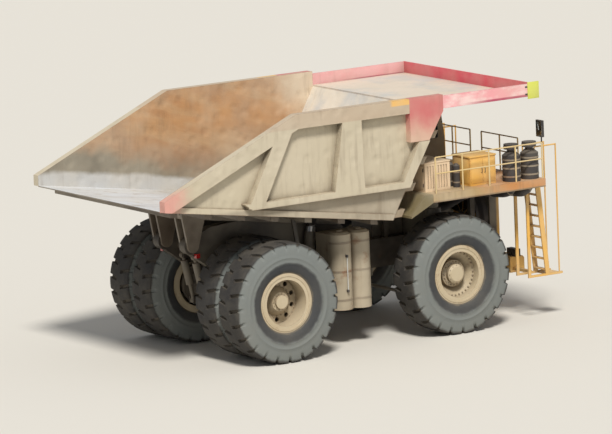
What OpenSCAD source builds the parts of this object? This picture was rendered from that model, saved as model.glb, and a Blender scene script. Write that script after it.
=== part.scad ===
// Mining dump truck: rigid frame, two axles, tipping body with a canopy over the cab.
// +X is forward, +Y is the driver's left and +Z is up. Inside the modules x is measured from
// the rear axle; place() moves the finished pieces so that the middle of the truck is at 0.

/* [Wheels] */
// Distance between the rear and front axles
wheel_base = 6300; // [6200:50:6500]
// Outside diameter of a tyre over its lugs
tyre_d = 3570; // [3500:10:3620]
// Width of a tyre over its side walls
tyre_w = 1100; // [1040:10:1120]
// Diameter of the rim under the tyre's beads
rim_seat_d = 1480; // [1440:10:1500]
// Diameter of the rim's flange
rim_flange_d = 1760; // [1720:10:1800]
// Width between the rim's flanges
rim_w = 780; // [740:10:800]
// Distance between the middles of the two front tyres
front_track = 5500; // [5480:10:5600]
// Width over the outer rear tyres
dual_w = 7100; // [7060:10:7200]
// Gap between the two tyres of a rear pair
dual_gap = 150; // [120:5:160]
// Lugs on each shoulder of a tyre
lug_count = 24; // [20:1:28]
// Depth of the grooves between the lugs
lug_depth = 80; // [50:5:95]
// Width of the grooves between the lugs
lug_groove = 120; // [80:5:150]

/* [Steering] */
// Distance of a kingpin from the middle of the truck
kingpin_y = 1850; // [1820:10:1860]
// Length of a steering arm behind the kingpin
steer_arm = 620; // [560:10:680]
// Radius of the upper tube of a front strut
strut_r = 185; // [170:5:200]

/* [Frame] */
// Distance of a frame rail's middle from the middle of the truck
rail_y = 720; // [700:5:730]
// Width of a frame rail
rail_w = 300; // [280:5:310]
// Distance of the body's pivot behind the rear axle
pivot_back = 1550; // [1500:10:1600]
// Height of the body's pivot
pivot_z = 3350; // [3320:10:3400]
// Radius of the body's pivot pins
pivot_pin_r = 100; // [80:5:110]
// Radius of the pin holes in the tow eyes
tow_bore_r = 60; // [45:5:70]

/* [Dump body] */
// Distance of the tail behind the rear axle
tail_back = 4150; // [4000:50:4300]
// Height of the floor's underside at the tail
tail_z = 4950; // [4900:10:5000]
// Slope of the floor, down towards the front, in degrees
floor_slope = 8.6; // [8.3:0.1:9]
// Distance of the floor's front end behind the front axle
body_axle_gap = 2450; // [2400:10:2500]
// Lean of the front wall from upright, in degrees
front_lean = 30; // [28:0.5:31]
// Height of the rim above the underside of the canopy plate
rim_rise = 450; // [420:10:480]
// Distance of the rim's rear corner ahead of the rear axle
rim_corner_x = 450; // [350:10:600]
// Height of the side wall at the tail
tail_wall_h = 330; // [300:10:360]
// Half the width over the side plates
side_y = 3400; // [3380:10:3420]
// Thickness of the side, floor and front plates
plate_t = 40; // [30:5:50]
// How far the outside stiffeners stand out
rib_d = 230; // [200:10:240]
// Depth of the rail along the rim
rim_rail_h = 430; // [380:10:460]
// Depth of the beams under the body
beam_d = 420; // [400:10:430]
// Running gap between body and frame
body_gap = 6; // [5:1:10]

/* [Canopy] */
// Gap between the cab's roof and the canopy plate's underside
canopy_gap = 450; // [420:10:500]
// Distance of the canopy's front edge ahead of the front axle
canopy_reach = 2750; // [2700:10:2800]
// Height of the canopy's edge boards
edge_h = 380; // [340:10:400]

/* [Hoist] */
// Height of the hoist cylinder's lower pin
hoist_z = 1500; // [1450:10:1550]
// Distance of the lower pin ahead of the rear axle
hoist_x = 2230; // [2200:10:2300]
// Distance of the upper eye ahead of the rear axle
hoist_eye_x = 2500; // [2450:10:2550]
// Radius of the hoist cylinder's barrel
hoist_r = 165; // [150:5:170]

/* [Deck] */
// Height of the deck's top
deck_z = 4350; // [4320:10:4380]
// Half the width of the deck
deck_y = 3500; // [3450:10:3550]
// Distance of the deck's rear edge behind the front axle
deck_back = 1050; // [1000:10:1060]
// Distance of the deck's front edge ahead of the front axle
deck_reach = 3000; // [2980:10:3050]
// Height of the hand rails
rail_h = 1080; // [1000:10:1100]

/* [Cab] */
// Length of the cab
cab_l = 1950; // [1900:10:2000]
// Width of the cab
cab_w = 1650; // [1600:10:1680]
// Height of the cab
cab_h = 2050; // [2000:10:2100]
// Thickness of the cab's walls
cab_t = 80; // [60:5:90]
// Thickness of the glass
glass_t = 16; // [12:1:20]

/* [Tanks] */
// Height of the tanks' undersides
tank_z = 1100; // [1050:10:1150]
// Height of the round hydraulic tank
hydraulic_h = 2250; // [2150:10:2300]
// Height of the fuel tank
fuel_h = 1750; // [1700:10:1850]

/* [Hidden] */
$fn = 64;

fit = 0.3;          // gap between pieces that seat on each other
run = 0.5;          // radial gap of a pin or shaft that turns in a bore
step = 5;           // gap between faces that pass each other

// Wheels
axle_z = tyre_d / 2;
seat_r = rim_seat_d / 2;
flange_r = rim_flange_d / 2;
flange_t = 45;
front_y = front_track / 2;
dual_out_y = (dual_w - tyre_w) / 2;
dual_in_y = dual_out_y - tyre_w - dual_gap;
barrel_t = 60;
wall_r = 1400;      // radius of a tyre's side wall in section
belly_r = flange_r + 450;
shoulder = 70;
tread_t = 250;
lug_rib = 90;
lug_slant = 12;
front_spindle_r = 170;
front_hub_r = 400;
rear_spindle_r = 300;
rear_hub_r = 430;
hub_in_y = dual_in_y - tyre_w / 2 + 145;
brake_face_y = front_y - 425;

// Front axle
front_x = wheel_base;
strut_rod_r = 135;
strut_low_z = tyre_d / 2 + 775;
strut_h = 1300;
knuckle_r = 210;
knuckle_h = 650;
knuckle_low_z = axle_z - knuckle_h;
arm_y = kingpin_y - 100;
arm_w = 180;
arm_t = 90;
arm_eye_r = 115;
tie_rod_r = 50;

// Lines of the dump body, from the floor's underside
tail_x = -tail_back;
floor_front_x = front_x - body_axle_gap;
function floor_z(x) = tail_z - (x - tail_x) * tan(floor_slope);
floor_front_z = floor_z(floor_front_x);
function front_wall_x(z) = floor_front_x + (z - floor_front_z) * tan(front_lean);
canopy_z = deck_z + cab_h + canopy_gap;
rim_z = canopy_z + rim_rise;
canopy_root_x = front_wall_x(canopy_z);
canopy_front_x = front_x + canopy_reach;
gusset_x = canopy_root_x - 1210;
gusset_low_z = canopy_z - 840;

// Frame
rail_out = rail_y + rail_w / 2;
rail_in = rail_y - rail_w / 2;
pivot_x = -pivot_back;
boss_r = 260;
ear_t = 80;
rail_low_z = 1900;
rail_mid_z = 2600;
rail_top_z = 2750;
rail_reach = 2650;
rail_front_x = front_x + rail_reach;
bumper_x = rail_front_x + 350;
bumper_y = 1500;
nose_z = 1720;
grille_y = 880;
tower_x = 230;
tower_h = 1000;
tower_low_z = strut_low_z + 90;
tower_top_z = tower_low_z + tower_h;
collar_z = tower_top_z + 300;
collar_h = 250;
tank_mid_x = front_x / 2 - 90;
tank_in_y = 1450;
tank_r = 335;
// Cross members between the rails: [x, length, underside, height]
cross_members = [
    [1800, 250, 2050, 650],
    [front_x - 2000, 250, rail_low_z, 120],
    [front_x - 1250, 250, rail_low_z, 120],
    [front_x + 1000, 250, rail_low_z, 120],
    [rail_front_x - 300, 250, rail_low_z, 120]
];
// Cross tubes between the rails: [x, z, radius]
cross_tubes = [
    [pivot_x + 550, pivot_z - 150, 170],
    [tank_mid_x, 2500, 150]
];

// Rear axle
housing_r = 560;
housing_y = 720;
axle_tube_r = 420;
brake_r = 590;
brake_t = 135;
arm_root_x = 640;
arm_nose_x = 1680;
arm_h = 220;
// Rear struts: their ends in x and z, and the lugs beside their eyes
strut_top = [pivot_x + 420, pivot_z - 450];
strut_foot = [-820, axle_z - 285];
strut_y = 320;
strut_eye_w = 150;
strut_eye_r = 95;
strut_lug_t = 40;

// Dump body: its side is worked out from the floor's line
bolster_d = 160;
bolster_w = 240;
bolster_pitch = 1150;
bolster_start = tail_x + 450;
bolster_count = 1 + floor((floor_front_x - 100 - bolster_w - bolster_start) / bolster_pitch);
function bolster_x(i) = bolster_start + i * bolster_pitch;
low_rail_z = 4680;
low_rail_h = 190;
// Posts on the sides: [x behind and in front at the foot, x behind and in front at the top, top]
side_posts = [
    [-1280, -750, -160, 370, rim_z - 400],
    [1700, 2780, 2080, 2730, rim_z - 310]
];
function beam_z(x) = floor_z(x) - beam_d;
beam_front_x = floor_front_x - 150;
beam_back_x = pivot_x - 550;
beam_w = rail_w - 40;

// Hoist: a barrel and two moving stages on stub pins outside the rails
hoist_y = rail_out + 210;
hoist_eye_z = beam_z(hoist_eye_x) + 130;
hoist_dx = hoist_eye_x - hoist_x;
hoist_dz = hoist_eye_z - hoist_z;
hoist_len = sqrt(hoist_dx * hoist_dx + hoist_dz * hoist_dz);
hoist_lean = atan2(hoist_dx, hoist_dz);
eye_r = 150;
hoist_boss_r = 90;
eye_t = 110;
stub_r = 70;
stage_wall = 25;
barrel_l = hoist_len - 330;
stage_l = barrel_l - 60;
rod_top = stage_l + 210;

// Rock ejectors hang from the fifth bolster into the gap between the twin tyres
ejector_y = (dual_in_y + dual_out_y) / 2;
ejector_t = 60;
ejector_w = 120;
ejector_low_x = tyre_d / 2 - 625;
ejector_low_z = tyre_d - 820;

// Deck, cab and front end
deck_t = 40;
deck_back_x = front_x - deck_back;
deck_front_x = front_x + deck_reach;
skirt_h = 250;
deck_beam_h = 150;
deck_beams = [deck_back_x, front_x - 80, deck_front_x - 900];
rail_bar_r = 20;
hood_y = 620;
hood_h = 260;
hood_back_x = front_x - 300;
hood_front_x = deck_front_x - 700;
fender_in_y = deck_y - 1250;
fender_lip_z = tyre_d + 150;
fender_lip_h = 70;
// What stands on the right deck, from the edge inwards
cleaner_r = 270;
cleaner_h = 780;
cleaner_neck_r = 120;
cleaner_cap_r = 215;
cleaner_y = deck_y - 110 - cleaner_r;
cleaner_xs = [deck_front_x - 300, deck_front_x - 960];
cabinet_h = 850;
brake_cabinet_l = 900;
brake_cabinet_y = deck_y - 500;
brake_cabinet_w = 1500;
louvre_pitch = 95;
louvre_w = 50;
louvre_d = 20;
battery_box_l = 920;
battery_box_y = deck_y - 400;
battery_box_w = 900;
bottle_r = 110;
bottle_h = 640;
bottle_pitch = 300;
cab_x = front_x + 500;
cab_y = 950;
cab_roof_z = deck_z + cab_h;
ladder_x = deck_front_x;
ladder_y = deck_y - 1200;
ladder_w = 650;
ladder_foot_z = 1300;
win_low = 850;
win_high = 1800;
screen_lean = 160;
door_x0 = cab_x + 150;
door_x1 = cab_x + 950;
door_y = cab_y + cab_w;
door_z0 = deck_z + 120;
door_z1 = deck_z + 1850;
door_gap = 15;
hinge_x = door_x0 + 25;
hinge_y = door_y + 45;
hinge_r = 26;
hinge_pin_r = 12;
hinge_h = 120;
hinge_zs = [deck_z + 350, deck_z + 1500];
step_reach = 900;
step_front_x = deck_front_x + step_reach;

// The middle of the truck's length, from the rear axle
mid_x = (tail_x + step_front_x) / 2;

module place() { translate([-mid_x, 0, 0]) children(); }
module both() {
    children();
    mirror([0, 1, 0]) children();
}
module right() { mirror([0, 1, 0]) children(); }
// An outline in x and z, made solid from y0 to y1
module side_plate(points, y0, y1) {
    translate([0, y1, 0]) rotate([90, 0, 0]) linear_extrude(y1 - y0) polygon(points);
}
// A round bar along y
module bar_y(x, z, r, y0, y1) { translate([x, y0, z]) rotate([-90, 0, 0]) cylinder(r = r, h = y1 - y0); }
module box(x0, x1, y0, y1, z0, z1) { translate([x0, y0, z0]) cube([x1 - x0, y1 - y0, z1 - z0]); }
// A round bar between two points
module bar(a, b, r) {
    d = b - a;
    flat = sqrt(d[0] * d[0] + d[1] * d[1]);
    translate(a) rotate([0, atan2(flat, d[2]), atan2(d[1], d[0])]) cylinder(r = r, h = norm(d));
}

// Tyres and rims. The section's x is the radius and its y the width, outwards.
module tyre_section() {
    half = tyre_w / 2;
    top = tyre_d / 2;
    bead = rim_w / 2 - fit;
    lip = flange_r + fit;
    difference() {
        intersection() {
            polygon([
                [seat_r + fit, -bead], [lip, -bead], [lip, -bead - flange_t], [lip + 150, -half],
                [top - shoulder, -half], [top, shoulder - half], [top, half - shoulder],
                [top - shoulder, half], [lip + 150, half], [lip, bead + flange_t], [lip, bead],
                [seat_r + fit, bead]
            ]);
            translate([belly_r, half - wall_r]) circle(r = wall_r);
            translate([belly_r, wall_r - half]) circle(r = wall_r);
        }
        // hollow inside, open towards the rim
        polygon([
            [seat_r - 10, 110 - bead], [lip + 100, 170 - half], [top - tread_t, 190 - half],
            [top - tread_t, half - 190], [lip + 100, half - 170], [seat_r - 10, bead - 110]
        ]);
    }
}
// Grooves across both shoulders leave the lugs and a rib round the middle
module lug_grooves() {
    pitch = 360 / lug_count;
    for (side = [0, 1]) mirror([0, 0, side]) for (i = [0:lug_count - 1])
        rotate([0, 0, (i + side / 2) * pitch]) translate([tyre_d / 2 - lug_depth, 0, 0])
            rotate([lug_slant, 0, 0]) translate([0, -lug_groove / 2, lug_rib])
                cube([2 * lug_depth, lug_groove, tyre_w]);
}
module tyre(x, y) {
    translate([x, y, axle_z]) rotate([-90, 0, 0]) difference() {
        rotate_extrude() tyre_section();
        lug_grooves();
    }
}
module barrel_section() {
    half = rim_w / 2 + flange_t;
    polygon([
        [seat_r - barrel_t, -half], [flange_r, -half], [flange_r, flange_t - half],
        [seat_r, flange_t - half], [seat_r, half - flange_t], [flange_r, half - flange_t],
        [flange_r, half], [seat_r - barrel_t, half]
    ]);
}
module front_rim() {
    well = seat_r - barrel_t;
    translate([front_x, front_y, axle_z]) rotate([-90, 0, 0]) rotate_extrude() {
        barrel_section();
        polygon([[front_hub_r - 5, -190], [well + 5, 110], [well + 5, 190], [front_hub_r - 5, -110]]);
        difference() {
            polygon([
                [0, -420], [front_hub_r, -420], [front_hub_r, 90], [290, 130], [290, 250],
                [220, 310], [0, 310]
            ]);
            translate([0, -421]) square([front_spindle_r + run, 461]);
        }
    }
}
module rear_rims() {
    well = seat_r - barrel_t;
    web = dual_out_y - 150;
    difference() {
        translate([0, 0, axle_z]) rotate([-90, 0, 0]) rotate_extrude() {
            translate([0, dual_in_y]) barrel_section();
            translate([0, dual_out_y]) barrel_section();
            translate([well, dual_in_y]) square([barrel_t / 2, dual_out_y - dual_in_y]);
            translate([rear_hub_r - 5, web - 30]) square([well - rear_hub_r + 10, 60]);
            translate([rear_hub_r - 5, dual_in_y + 120]) square([well - rear_hub_r + 10, 60]);
            difference() {
                polygon([
                    [0, hub_in_y], [rear_hub_r, hub_in_y], [rear_hub_r, web + 60], [280, web + 260],
                    [200, web + 260], [200, web + 350], [0, web + 350]
                ]);
                translate([0, hub_in_y - 1]) square([rear_spindle_r + run, 1101]);
            }
        }
        for (i = [0:9])
            translate([0, web - 60, axle_z]) rotate([0, i * 36, 0]) translate([0, 0, 560])
                rotate([-90, 0, 0]) cylinder(r = 72, h = 120);
    }
}
module tyre_front_left() { color("dimgray") tyre(front_x, front_y); }
module tyre_front_right() { color("dimgray") right() tyre(front_x, front_y); }
module rear_pair() {
    tyre(0, dual_in_y);
    tyre(0, dual_out_y);
}
module tyres_rear_left() { color("dimgray") rear_pair(); }
module tyres_rear_right() { color("dimgray") right() rear_pair(); }
module rim_front_left() { color("wheat") front_rim(); }
module rim_front_right() { color("wheat") right() front_rim(); }
module rims_rear_left() { color("wheat") rear_rims(); }
module rims_rear_right() { color("wheat") right() rear_rims(); }

// Front struts, knuckles and tie rod
module front_strut() {
    translate([front_x, kingpin_y, 0]) {
        low = axle_z - knuckle_h / 2 + step;
        translate([0, 0, low]) cylinder(r = strut_rod_r, h = strut_low_z + 100 - low);
        translate([0, 0, strut_low_z]) cylinder(r = strut_r, h = strut_h);
        translate([0, 0, strut_low_z + strut_h]) cylinder(r1 = strut_r - 20, r2 = strut_r - 70, h = 60);
    }
}
module front_struts() { color("dimgray") both() front_strut(); }
module knuckle() {
    arm_turn = atan2(arm_y - kingpin_y, -steer_arm);
    arm_l = norm([steer_arm, arm_y - kingpin_y]);
    difference() {
        union() {
            translate([front_x, kingpin_y, knuckle_low_z]) cylinder(r = knuckle_r, h = 2 * knuckle_h);
            box(front_x - 180, front_x + 180, kingpin_y + 10, brake_face_y - 100, axle_z - 300,
                axle_z + 300);
            bar_y(front_x, axle_z, brake_r - 30, brake_face_y - 140, brake_face_y);
            bar_y(front_x, axle_z, front_spindle_r, brake_face_y - 20, front_y + 35);
            translate([front_x, kingpin_y, knuckle_low_z]) rotate([0, 0, arm_turn])
                translate([20, -arm_w / 2, 0]) cube([arm_l - 20, arm_w, arm_t]);
            translate([front_x - steer_arm, arm_y, knuckle_low_z]) cylinder(r = arm_eye_r, h = arm_t + 20);
        }
        translate([front_x, kingpin_y, axle_z - knuckle_h / 2])
            cylinder(r = strut_rod_r + run, h = 2 * knuckle_h);
    }
}
module knuckle_left() { color("dimgray") knuckle(); }
module knuckle_right() { color("dimgray") right() knuckle(); }
module tie_rod() {
    eye_z = knuckle_low_z - fit;
    color("dimgray") {
        bar_y(front_x - steer_arm, eye_z - tie_rod_r - 5, tie_rod_r, -arm_y, arm_y);
        both() translate([front_x - steer_arm, arm_y, eye_z - 110]) cylinder(r = arm_eye_r - 20, h = 110);
    }
}

// Frame
module frame_rail() {
    side_plate([
        [pivot_x - 60, pivot_z - 240], [-900, rail_mid_z], [950, rail_mid_z], [1900, rail_low_z],
        [front_x + 1900, rail_low_z], [front_x + 2250, nose_z - 400], [bumper_x, nose_z - 400],
        [bumper_x, nose_z], [rail_front_x, nose_z], [rail_front_x, rail_top_z],
        [floor_front_x + 250, rail_top_z], [beam_front_x, beam_z(beam_front_x) - body_gap],
        [0, beam_z(0) - body_gap], [-900, beam_z(0) - body_gap - 60], [pivot_x + 60, pivot_z + 250]
    ], rail_in, rail_out);
    bar_y(pivot_x, pivot_z, boss_r, rail_in, rail_out);
}
module strut_tower() {
    difference() {
        union() {
            box(front_x - tower_x, front_x + tower_x, rail_out, kingpin_y, tower_low_z, tower_top_z);
            translate([front_x, kingpin_y, tower_low_z])
                cylinder(r = boss_r, h = tower_top_z - tower_low_z);
            box(front_x - tower_x, front_x + tower_x, rail_in, 1200, rail_top_z, collar_z);
        }
        translate([front_x, kingpin_y, tower_low_z - 1])
            cylinder(r = strut_r + fit, h = tower_top_z - tower_low_z + 2);
    }
}
module strut_lugs(x0, x1, z0, z1) {
    reach = strut_eye_w / 2 + fit;
    both() for (y = [strut_y - reach - strut_lug_t, strut_y + reach]) box(x0, x1, y, y + strut_lug_t,
        z0, z1);
}
module main_frame() {
    half = rail_in + 10;
    color("darkslategray") difference() {
        union() {
            both() {
                frame_rail();
                strut_tower();
                // stub pin that carries the hoist cylinder
                bar_y(hoist_x, hoist_z, stub_r, rail_out - 10, hoist_y + eye_t / 2 + 20);
                bar_y(hoist_x, hoist_z, stub_r + 15, rail_out - 10, hoist_y - eye_t / 2 - fit);
                box(hoist_x - 190, hoist_x + 190, rail_in, rail_out, hoist_z - 190, rail_low_z + 60);
                // posts under the deck
                for (x = [deck_beams[0], deck_beams[2]])
                    box(x, x + 160, rail_y - 80, rail_y + 80, rail_top_z - 10,
                        deck_z - deck_t - deck_beam_h);
                // arms that carry the tanks
                for (x = [tank_mid_x - 310, tank_mid_x + 340])
                    box(x, x + 120, rail_out - 10, tank_in_y, 2050, 2250);
            }
            box(front_x - tower_x, front_x + tower_x, -1200, 1200, collar_z - collar_h, collar_z);
            for (m = cross_members) box(m[0], m[0] + m[1], -half, half, m[2], m[2] + m[3]);
            for (t = cross_tubes) bar_y(t[0], t[1], t[2], -half, half);
            strut_lugs(strut_top[0] - 50, strut_top[0] + 50, strut_top[1] - 80, strut_top[1] + 280);
        }
        both() bar_y(pivot_x, pivot_z, pivot_pin_r + run, rail_in - 5, rail_out + 5);
    }
}

// Rear axle, its arm and its struts
module rear_axle() {
    face = hub_in_y - step;
    end = hub_in_y + 1090;
    // half the housing's outline, from its end to the middle: [radius, y]
    half = [
        [rear_spindle_r, end], [rear_spindle_r, face], [brake_r, face], [brake_r, face - brake_t],
        [axle_tube_r, face - brake_t], [axle_tube_r - 20, housing_y + 130], [housing_r, housing_y - 300]
    ];
    color("dimgray") {
        translate([0, 0, axle_z]) rotate([-90, 0, 0]) rotate_extrude() polygon(concat(
            [[0, -end]], [for (p = half) [p[0], -p[1]]], [for (i = [len(half) - 1:-1:0]) half[i]], [[0, end]]
        ));
        // dished cover behind
        translate([-300, 0, axle_z]) rotate([0, -90, 0]) {
            cylinder(r = housing_r - 130, h = 300);
            translate([0, 0, 300]) cylinder(r1 = housing_r - 160, r2 = housing_r - 280, h = 110);
        }
        box(400, arm_root_x, -650, 650, axle_z - 180, axle_z + 180);
        strut_lugs(strut_foot[0] - 80, -400, strut_foot[1] - 80, strut_foot[1] + 120);
    }
}
module axle_arm() {
    low = axle_z - arm_h / 2;
    color("dimgray") {
        translate([0, 0, low]) linear_extrude(arm_h) difference() {
            polygon([[arm_root_x, -640], [arm_nose_x, -140], [arm_nose_x, 140], [arm_root_x, 640]]);
            polygon([[800, -330], [1250, -120], [1250, 120], [800, 330]]);
        }
        box(arm_nose_x - 60, cross_members[0][0], -120, 120, low, 2200);
    }
}
module rear_struts() {
    run_x = strut_top[0] - strut_foot[0];
    run_z = strut_top[1] - strut_foot[1];
    l = norm([run_x, run_z]);
    color("dimgray") both() {
        bar_y(strut_top[0], strut_top[1], strut_eye_r, strut_y - strut_eye_w / 2, strut_y + strut_eye_w / 2);
        bar_y(strut_foot[0], strut_foot[1], strut_eye_r - 10, strut_y - strut_eye_w / 2,
            strut_y + strut_eye_w / 2);
        translate([strut_foot[0], strut_y, strut_foot[1]]) rotate([0, atan2(run_x, run_z), 0]) {
            cylinder(r = 60, h = l - 50);
            translate([0, 0, 520]) cylinder(r = 120, h = l - 680);
        }
    }
}

// Engine, radiator and bumper
module engine() {
    color("dimgray") box(front_x - 1300, front_x + 1300, 30 - rail_in, rail_in - 30,
        rail_low_z + 120, rail_top_z + 850);
}
module radiator() {
    top = deck_z - deck_t - 210;
    color("goldenrod") difference() {
        box(rail_front_x + step, bumper_x, -1000, 1000, nose_z, top);
        box(bumper_x - 120, bumper_x + 1, -grille_y, grille_y, nose_z + 130, top - 130);
    }
}
module grille() {
    low = nose_z + 130;
    color("darkslategray") {
        for (i = [0:10]) translate([bumper_x - 110, -grille_y, low + 20 + i * 190])
            cube([50, 2 * grille_y, 60]);
        for (i = [0:4]) translate([bumper_x - 90, i * (grille_y / 2 - 12.5) - grille_y, low])
            cube([30, 50, deck_z - deck_t - 340 - low]);
    }
}
module front_bumper() {
    front = bumper_x + 520;
    color("goldenrod") difference() {
        union() {
            side_plate([
                [bumper_x, nose_z - 480], [front - 60, nose_z - 480], [front, nose_z - 420],
                [front, nose_z - 60], [front - 60, nose_z], [bumper_x, nose_z]
            ], -bumper_y, bumper_y);
            for (y = [-830, 730]) side_plate([
                [front - 20, nose_z - 380], [front + 160, nose_z - 380], [front + 230, nose_z - 300],
                [front + 230, nose_z - 180], [front + 160, nose_z - 100], [front - 20, nose_z - 100]
            ], y, y + 100);
        }
        bar_y(front + 120, nose_z - 240, tow_bore_r, -900, 900);
    }
}

// Deck with its skirt and beams
module decks() {
    low = deck_z - deck_t;
    color("goldenrod") {
        box(deck_back_x, deck_front_x, -deck_y, deck_y, low, deck_z);
        both() box(deck_back_x, deck_front_x, deck_y - 60, deck_y, deck_z - skirt_h, low + 10);
        box(deck_front_x - 60, deck_front_x, -deck_y, deck_y, deck_z - skirt_h, low + 10);
        for (x = deck_beams) box(x, x + 160, 10 - deck_y, deck_y - 10, low - deck_beam_h, low + 10);
    }
}
// The hood stands on the deck over the engine
module hood() {
    color("goldenrod") side_plate([
        [hood_back_x, deck_z], [hood_front_x, deck_z], [hood_front_x, deck_z + hood_h - 120],
        [hood_front_x - 120, deck_z + hood_h], [hood_back_x, deck_z + hood_h]
    ], -hood_y, hood_y);
}
module fenders() {
    back_x = floor_front_x + 600;
    color("goldenrod") both() side_plate([
        [deck_back_x - fit, deck_z], [deck_back_x - fit, deck_z - skirt_h], [back_x, fender_lip_z],
        [back_x, fender_lip_z + fender_lip_h], [deck_back_x - 300, deck_z]
    ], fender_in_y, deck_y);
}

// Cab: its outside grown by a margin, or shrunk by the walls
module cab_box(grow) {
    x0 = cab_x - grow;
    x1 = cab_x + cab_l + grow;
    side_plate([
        [x0, deck_z - grow], [x1, deck_z - grow], [x1, deck_z + win_low],
        [x1 - screen_lean, cab_roof_z + grow],
        [x0, cab_roof_z + grow]
    ], cab_y - grow, door_y + grow);
}
module cab_window_cuts() {
    box(cab_x - 200, cab_x + cab_l + 300, cab_y + 160, door_y - 160, deck_z + win_low + 60,
        deck_z + win_high);
    box(cab_x + 1180, cab_x + cab_l - 260, cab_y - 10, door_y + 10, deck_z + win_low, deck_z + win_high);
    box(cab_x + 200, cab_x + 1000, cab_y - 10, cab_y + cab_t + 10, deck_z + win_low, deck_z + win_high);
}
module cab_shell() {
    color("goldenrod") {
        for (z = hinge_zs) {
            translate([hinge_x, hinge_y, z - 60]) cylinder(r = hinge_pin_r, h = hinge_h + 120);
            for (low = [z - 60, z + hinge_h + step]) {
                translate([hinge_x, hinge_y, low]) cylinder(r = hinge_r, h = 60 - step);
                box(hinge_x - 110, door_x0 - step, door_y - 10, hinge_y + 12, low, low + 60 - step);
                box(door_x0 - 2 * step, hinge_x, hinge_y - 12, hinge_y + 12, low, low + 60 - step);
            }
        }
        // visor over the windscreen
        box(cab_x + cab_l - screen_lean - 20, cab_x + cab_l + 120, cab_y, door_y, cab_roof_z - 60,
            cab_roof_z);
        difference() {
            cab_box(0);
            cab_box(-cab_t);
            cab_window_cuts();
            box(door_x0, door_x1, door_y - cab_t - 10, door_y + 10, door_z0, door_z1);
        }
    }
}
module cab_windows() {
    slope = screen_lean / (cab_h - win_low);
    low = deck_z + win_low + 60;
    high = deck_z + win_high;
    low_x = cab_x + cab_l - slope * 60 - 40;
    high_x = cab_x + cab_l - slope * (win_high - win_low) - 40;
    color("lightsteelblue", 0.5) {
        side_plate([[low_x, low], [low_x + glass_t, low], [high_x + glass_t, high], [high_x, high]],
            cab_y + 160, door_y - 160);
        box(cab_x + 30, cab_x + 30 + glass_t, cab_y + 160, door_y - 160, low, high);
        for (y = [cab_y + 30, door_y - 30 - glass_t])
            box(cab_x + 1180, cab_x + cab_l - 260, y, y + glass_t, deck_z + win_low, high);
        box(cab_x + 200, cab_x + 1000, cab_y + 30, cab_y + 30 + glass_t, deck_z + win_low, high);
    }
}
module cab_door() {
    y0 = door_y - cab_t;
    color("goldenrod") difference() {
        union() {
            box(door_x0 + step, door_x1 - door_gap, y0 + step, door_y, door_z0 + step, door_z1 - step);
            for (z = hinge_zs) {
                translate([hinge_x, hinge_y, z]) cylinder(r = hinge_r, h = hinge_h);
                box(hinge_x, hinge_x + 90, door_y - 10, hinge_y + 12, z, z + hinge_h);
            }
        }
        box(door_x0 + 130, door_x1 - 130, y0 - 10, door_y + 10, deck_z + win_low, deck_z + win_high - 60);
        for (z = hinge_zs) translate([hinge_x, hinge_y, z - 1])
            cylinder(r = hinge_pin_r + run, h = hinge_h + 2);
    }
}
module cab_door_glass() {
    color("lightsteelblue", 0.5) box(door_x0 + 130, door_x1 - 130, door_y - 45, door_y - 45 + glass_t,
        deck_z + win_low, deck_z + win_high - 60);
}
module cab_interior() {
    seat_x = cab_x + 750;
    mid_y = cab_y + cab_w / 2;
    floor = deck_z + cab_t;
    color("dimgray") {
        box(seat_x - 150, seat_x + 250, mid_y - 200, mid_y + 200, floor, floor + 380);
        box(seat_x - 230, seat_x + 300, mid_y - 260, mid_y + 260, floor + 380, floor + 520);
        box(seat_x - 300, seat_x - 170, mid_y - 250, mid_y + 250, floor + 380, floor + 1250);
        box(cab_x + cab_l - 520, cab_x + cab_l - cab_t, cab_y + cab_t, door_y - cab_t, floor, floor + 640);
        bar([cab_x + cab_l - 480, mid_y, floor + 600], [cab_x + cab_l - 640, mid_y, floor + 830], 35);
        translate([cab_x + cab_l - 640, mid_y, floor + 830]) rotate([0, -35, 0]) cylinder(r = 220, h = 35);
    }
}

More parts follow.
